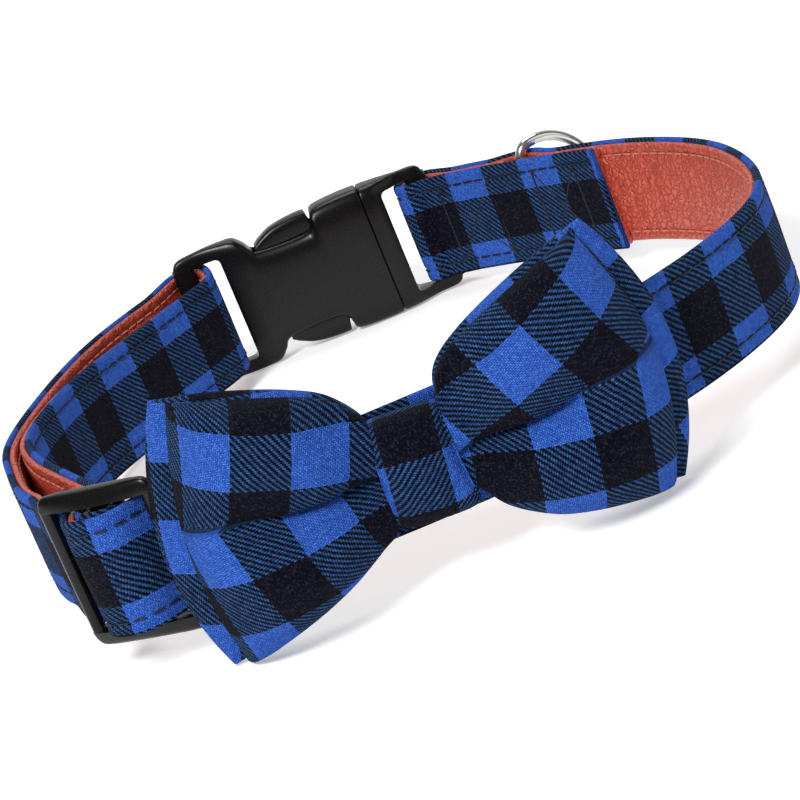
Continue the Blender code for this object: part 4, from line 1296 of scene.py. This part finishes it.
def knot():
    """The band round the bow's waists: (out, z) = (a sgn|cos|^p, b sgn|sin|^p), crowned at the front,
    with a rolled edge at each side and slight folds that run round it."""
    deep = BOW_WAIST_THICK + CLEARANCE * 1.5
    centre = BACK_SEAT + BOW_WAIST_THICK + CLEARANCE / 2
    across = np.sin(np.linspace(-math.pi / 2, math.pi / 2, KNOT_COLUMNS))[:, None]
    turn = circle(KNOT_POINTS)
    skins = []
    for outside in (1, 0):
        wall = KNOT_CLOTH * outside
        half_z = KNOT_HEIGHT / 2 - KNOT_CLOTH + wall
        out = (deep + wall) * squared(np.cos(turn), KNOT_SQUARE)
        z = half_z * squared(np.sin(turn), KNOT_SQUARE)
        front = np.clip(out / (deep + wall), 0, 1)
        crown = KNOT_CROWN * front * (1 - (z / half_z) ** 2) * (1 - across**2)
        folds = np.sin(across * KNOT_FOLD_TURNS + KNOT_FOLD_START + KNOT_FOLD_LEAN * z)
        folds = KNOT_FOLD * folds * (1 - across**4) * front
        rolled = KNOT_ROLL * np.abs(across) ** 5
        o = centre + out + outside * (crown + folds - rolled * (KNOT_ROLL_BACK + front))
        belly = np.where(across < 0, KNOT_BELLY, -KNOT_BELLY)
        width = KNOT_HALF_WIDTH - KNOT_TAPER * z + belly * np.cos(z / half_z * KNOT_BELLY_TURN)
        x = KNOT_CENTRE_X + across * (width + KNOT_ROLL_WIDE)
        high = KNOT_LIFT + z - KNOT_TILT * (x - KNOT_CENTRE_X)
        high = high - outside * rolled * np.sign(z) * KNOT_ROLL_HIGH
        skins.append(np.stack([x, FRONT_Y - o, high], axis=-1))
    outer, inner = skins

    # Cloth coordinates: v counts round the band, up and down from an edge of a check at its front
    lowest = KNOT_POINTS * 3 // 4
    middle = outer[KNOT_COLUMNS // 2]
    round_it = np.r_[0, np.cumsum(np.linalg.norm(np.diff(middle, axis=0), axis=1))]
    girth = round_it[-1] + np.linalg.norm(middle[0] - middle[-1])
    start = np.interp(KNOT_CHECK[1], middle[lowest:, 2], round_it[lowest:])
    v = np.r_[round_it, girth] - start
    v = np.where(v < -girth / 2, v + girth, v)
    v[-1] = v[0]
    rising = v[lowest + 1 : -1]
    v[lowest + 1 : -1] = np.where(rising > girth / 2, rising - girth, rising)
    x = np.concatenate([outer[:, :, 0], outer[:, :1, 0]], axis=1)
    u = SQUARE - (x - KNOT_CHECK[0] + KNOT_SKEW * v)
    uv = np.stack([u, np.broadcast_to(v, x.shape)], axis=-1)
    both = np.concatenate([outer, inner[::-1]], axis=0)
    both_uv = np.concatenate([uv, uv[::-1], uv[:1]], axis=0)
    return [patch(both, both_uv, around=True, along=True)]


def bow():
    """The front loop on the back loop, and the knot round both. Each loop is two wings."""

    def over_strap(share):
        return BACK_SEAT + 0 * share

    def over_back_loop(share):
        return BACK_SEAT + wing_thickness(share, BOW_BACK_PUFF) + CLEARANCE

    lobed = {"crease": 1.0, "lobe_rise": 1.3}
    front = [
        wing(LEFT_WING, -1, LEFT_LOBES, 4.8, BOW_FRONT_PUFF, over_back_loop, **lobed),
        wing(RIGHT_WING, 1, RIGHT_LOBES, 6.4, BOW_FRONT_PUFF, over_back_loop, **lobed),
    ]
    mesh = mesh_from("bow_front_cloth", front)
    piece = show("bow_front_cloth", mesh, TWILL, node="bow_front")

    back = [
        wing(LEFT_WING, -1, LEFT_BACK_LOBES, 6.4, BOW_BACK_PUFF, over_strap, peak=2.8),
        wing(RIGHT_WING, 1, RIGHT_BACK_LOBES, 7.6, BOW_BACK_PUFF, over_strap, peak=2.2),
    ]
    mesh = mesh_from("bow_back_cloth", back)
    piece = show("bow_back_cloth", mesh, TWILL, node="bow_back")
    show("bow_band", mesh_from("bow_band", knot()), TWILL, node="bow_knot")


strap()
buckle()
slider_frame()
leash_ring()
bow()


# Studio


def studio():
    """A pale floor that curves up behind, a faint white world and three soft lights."""
    rise = np.radians(np.linspace(0, 90, 40))
    y = np.r_[FLOOR_FRONT, FLOOR_BEND + FLOOR_BEND_RADIUS * np.sin(rise), FLOOR_BEND + FLOOR_BEND_RADIUS]
    z = np.r_[0.0, FLOOR_BEND_RADIUS * (1 - np.cos(rise)), FLOOR_TOP]
    x = np.broadcast_to([-FLOOR_HALF_WIDTH, FLOOR_HALF_WIDTH], (len(y), 2))
    points = np.stack([x, np.tile(y[:, None], 2), np.tile(z[:, None], 2)], axis=-1)
    index = np.arange(x.size).reshape(x.shape)
    quads = np.stack([index[:-1, 0], index[:-1, 1], index[1:, 1], index[1:, 0]], axis=1)
    mesh = bpy.data.meshes.new("floor")
    mesh.from_pydata(points.reshape(-1, 3), [], quads.tolist())
    mesh.shade_smooth()
    f = Finish("pale_paper")
    colour = f.mix(f.noise(f.place(), 40.0, 3.0).outputs["Fac"], *PAPER_WHITE)
    f.set(Base_Color=colour, Roughness=0.9)
    mesh.materials.append(f.set(Emission_Color=colour, Emission_Strength=FLOOR_GLOW))
    floor = add("floor", mesh)

    world = bpy.data.worlds.new("studio")
    world.use_nodes = True
    back = world.node_tree.nodes["Background"]
    back.inputs[0].default_value = (1.0, 1.0, 1.0, 1.0)
    back.inputs[1].default_value = WORLD_GLOW
    bpy.context.scene.world = world

    for name, place, aim, size, power in LIGHTS:
        data = bpy.data.lights.new(name, "AREA")
        data.shape = "DISK"
        data.size = size
        data.energy = power
        light = add(name, data)
        toward = np.array(aim) - np.array(place)
        yaw = math.atan2(toward[1], toward[0])
        drop = math.acos(-toward[2] / np.linalg.norm(toward))
        light.location = place
        light.rotation_euler = (drop, 0.0, yaw - math.pi / 2)


def camera():
    """The camera of the photograph: its height, its roll and its distance, as fitted to the strap."""
    right = np.array([1.0, 0.0, 0.0])
    up = np.array([0.0, math.sin(CAMERA_RAISED), math.cos(CAMERA_RAISED)])
    back = np.array([0.0, -math.cos(CAMERA_RAISED), math.sin(CAMERA_RAISED)])
    c, s = math.cos(CAMERA_ROLL), math.sin(CAMERA_ROLL)
    axes = [c * right - s * up, s * right + c * up, back]
    data = bpy.data.cameras.new("camera")
    data.sensor_width = CAMERA_SENSOR
    data.lens = CAMERA_LENS
    data.clip_end = 20.0
    eye = add("camera", data)
    place = np.eye(4)
    place[:3, :3] = np.array([leaned(axis) / MM for axis in axes]).T
    place[:3, 3] = stand(CAMERA_TARGET + CAMERA_DISTANCE * back)
    eye.matrix_world = Matrix(place.tolist())
    bpy.context.scene.camera = eye


studio()
camera()
bpy.context.scene.view_settings.view_transform = "Standard"
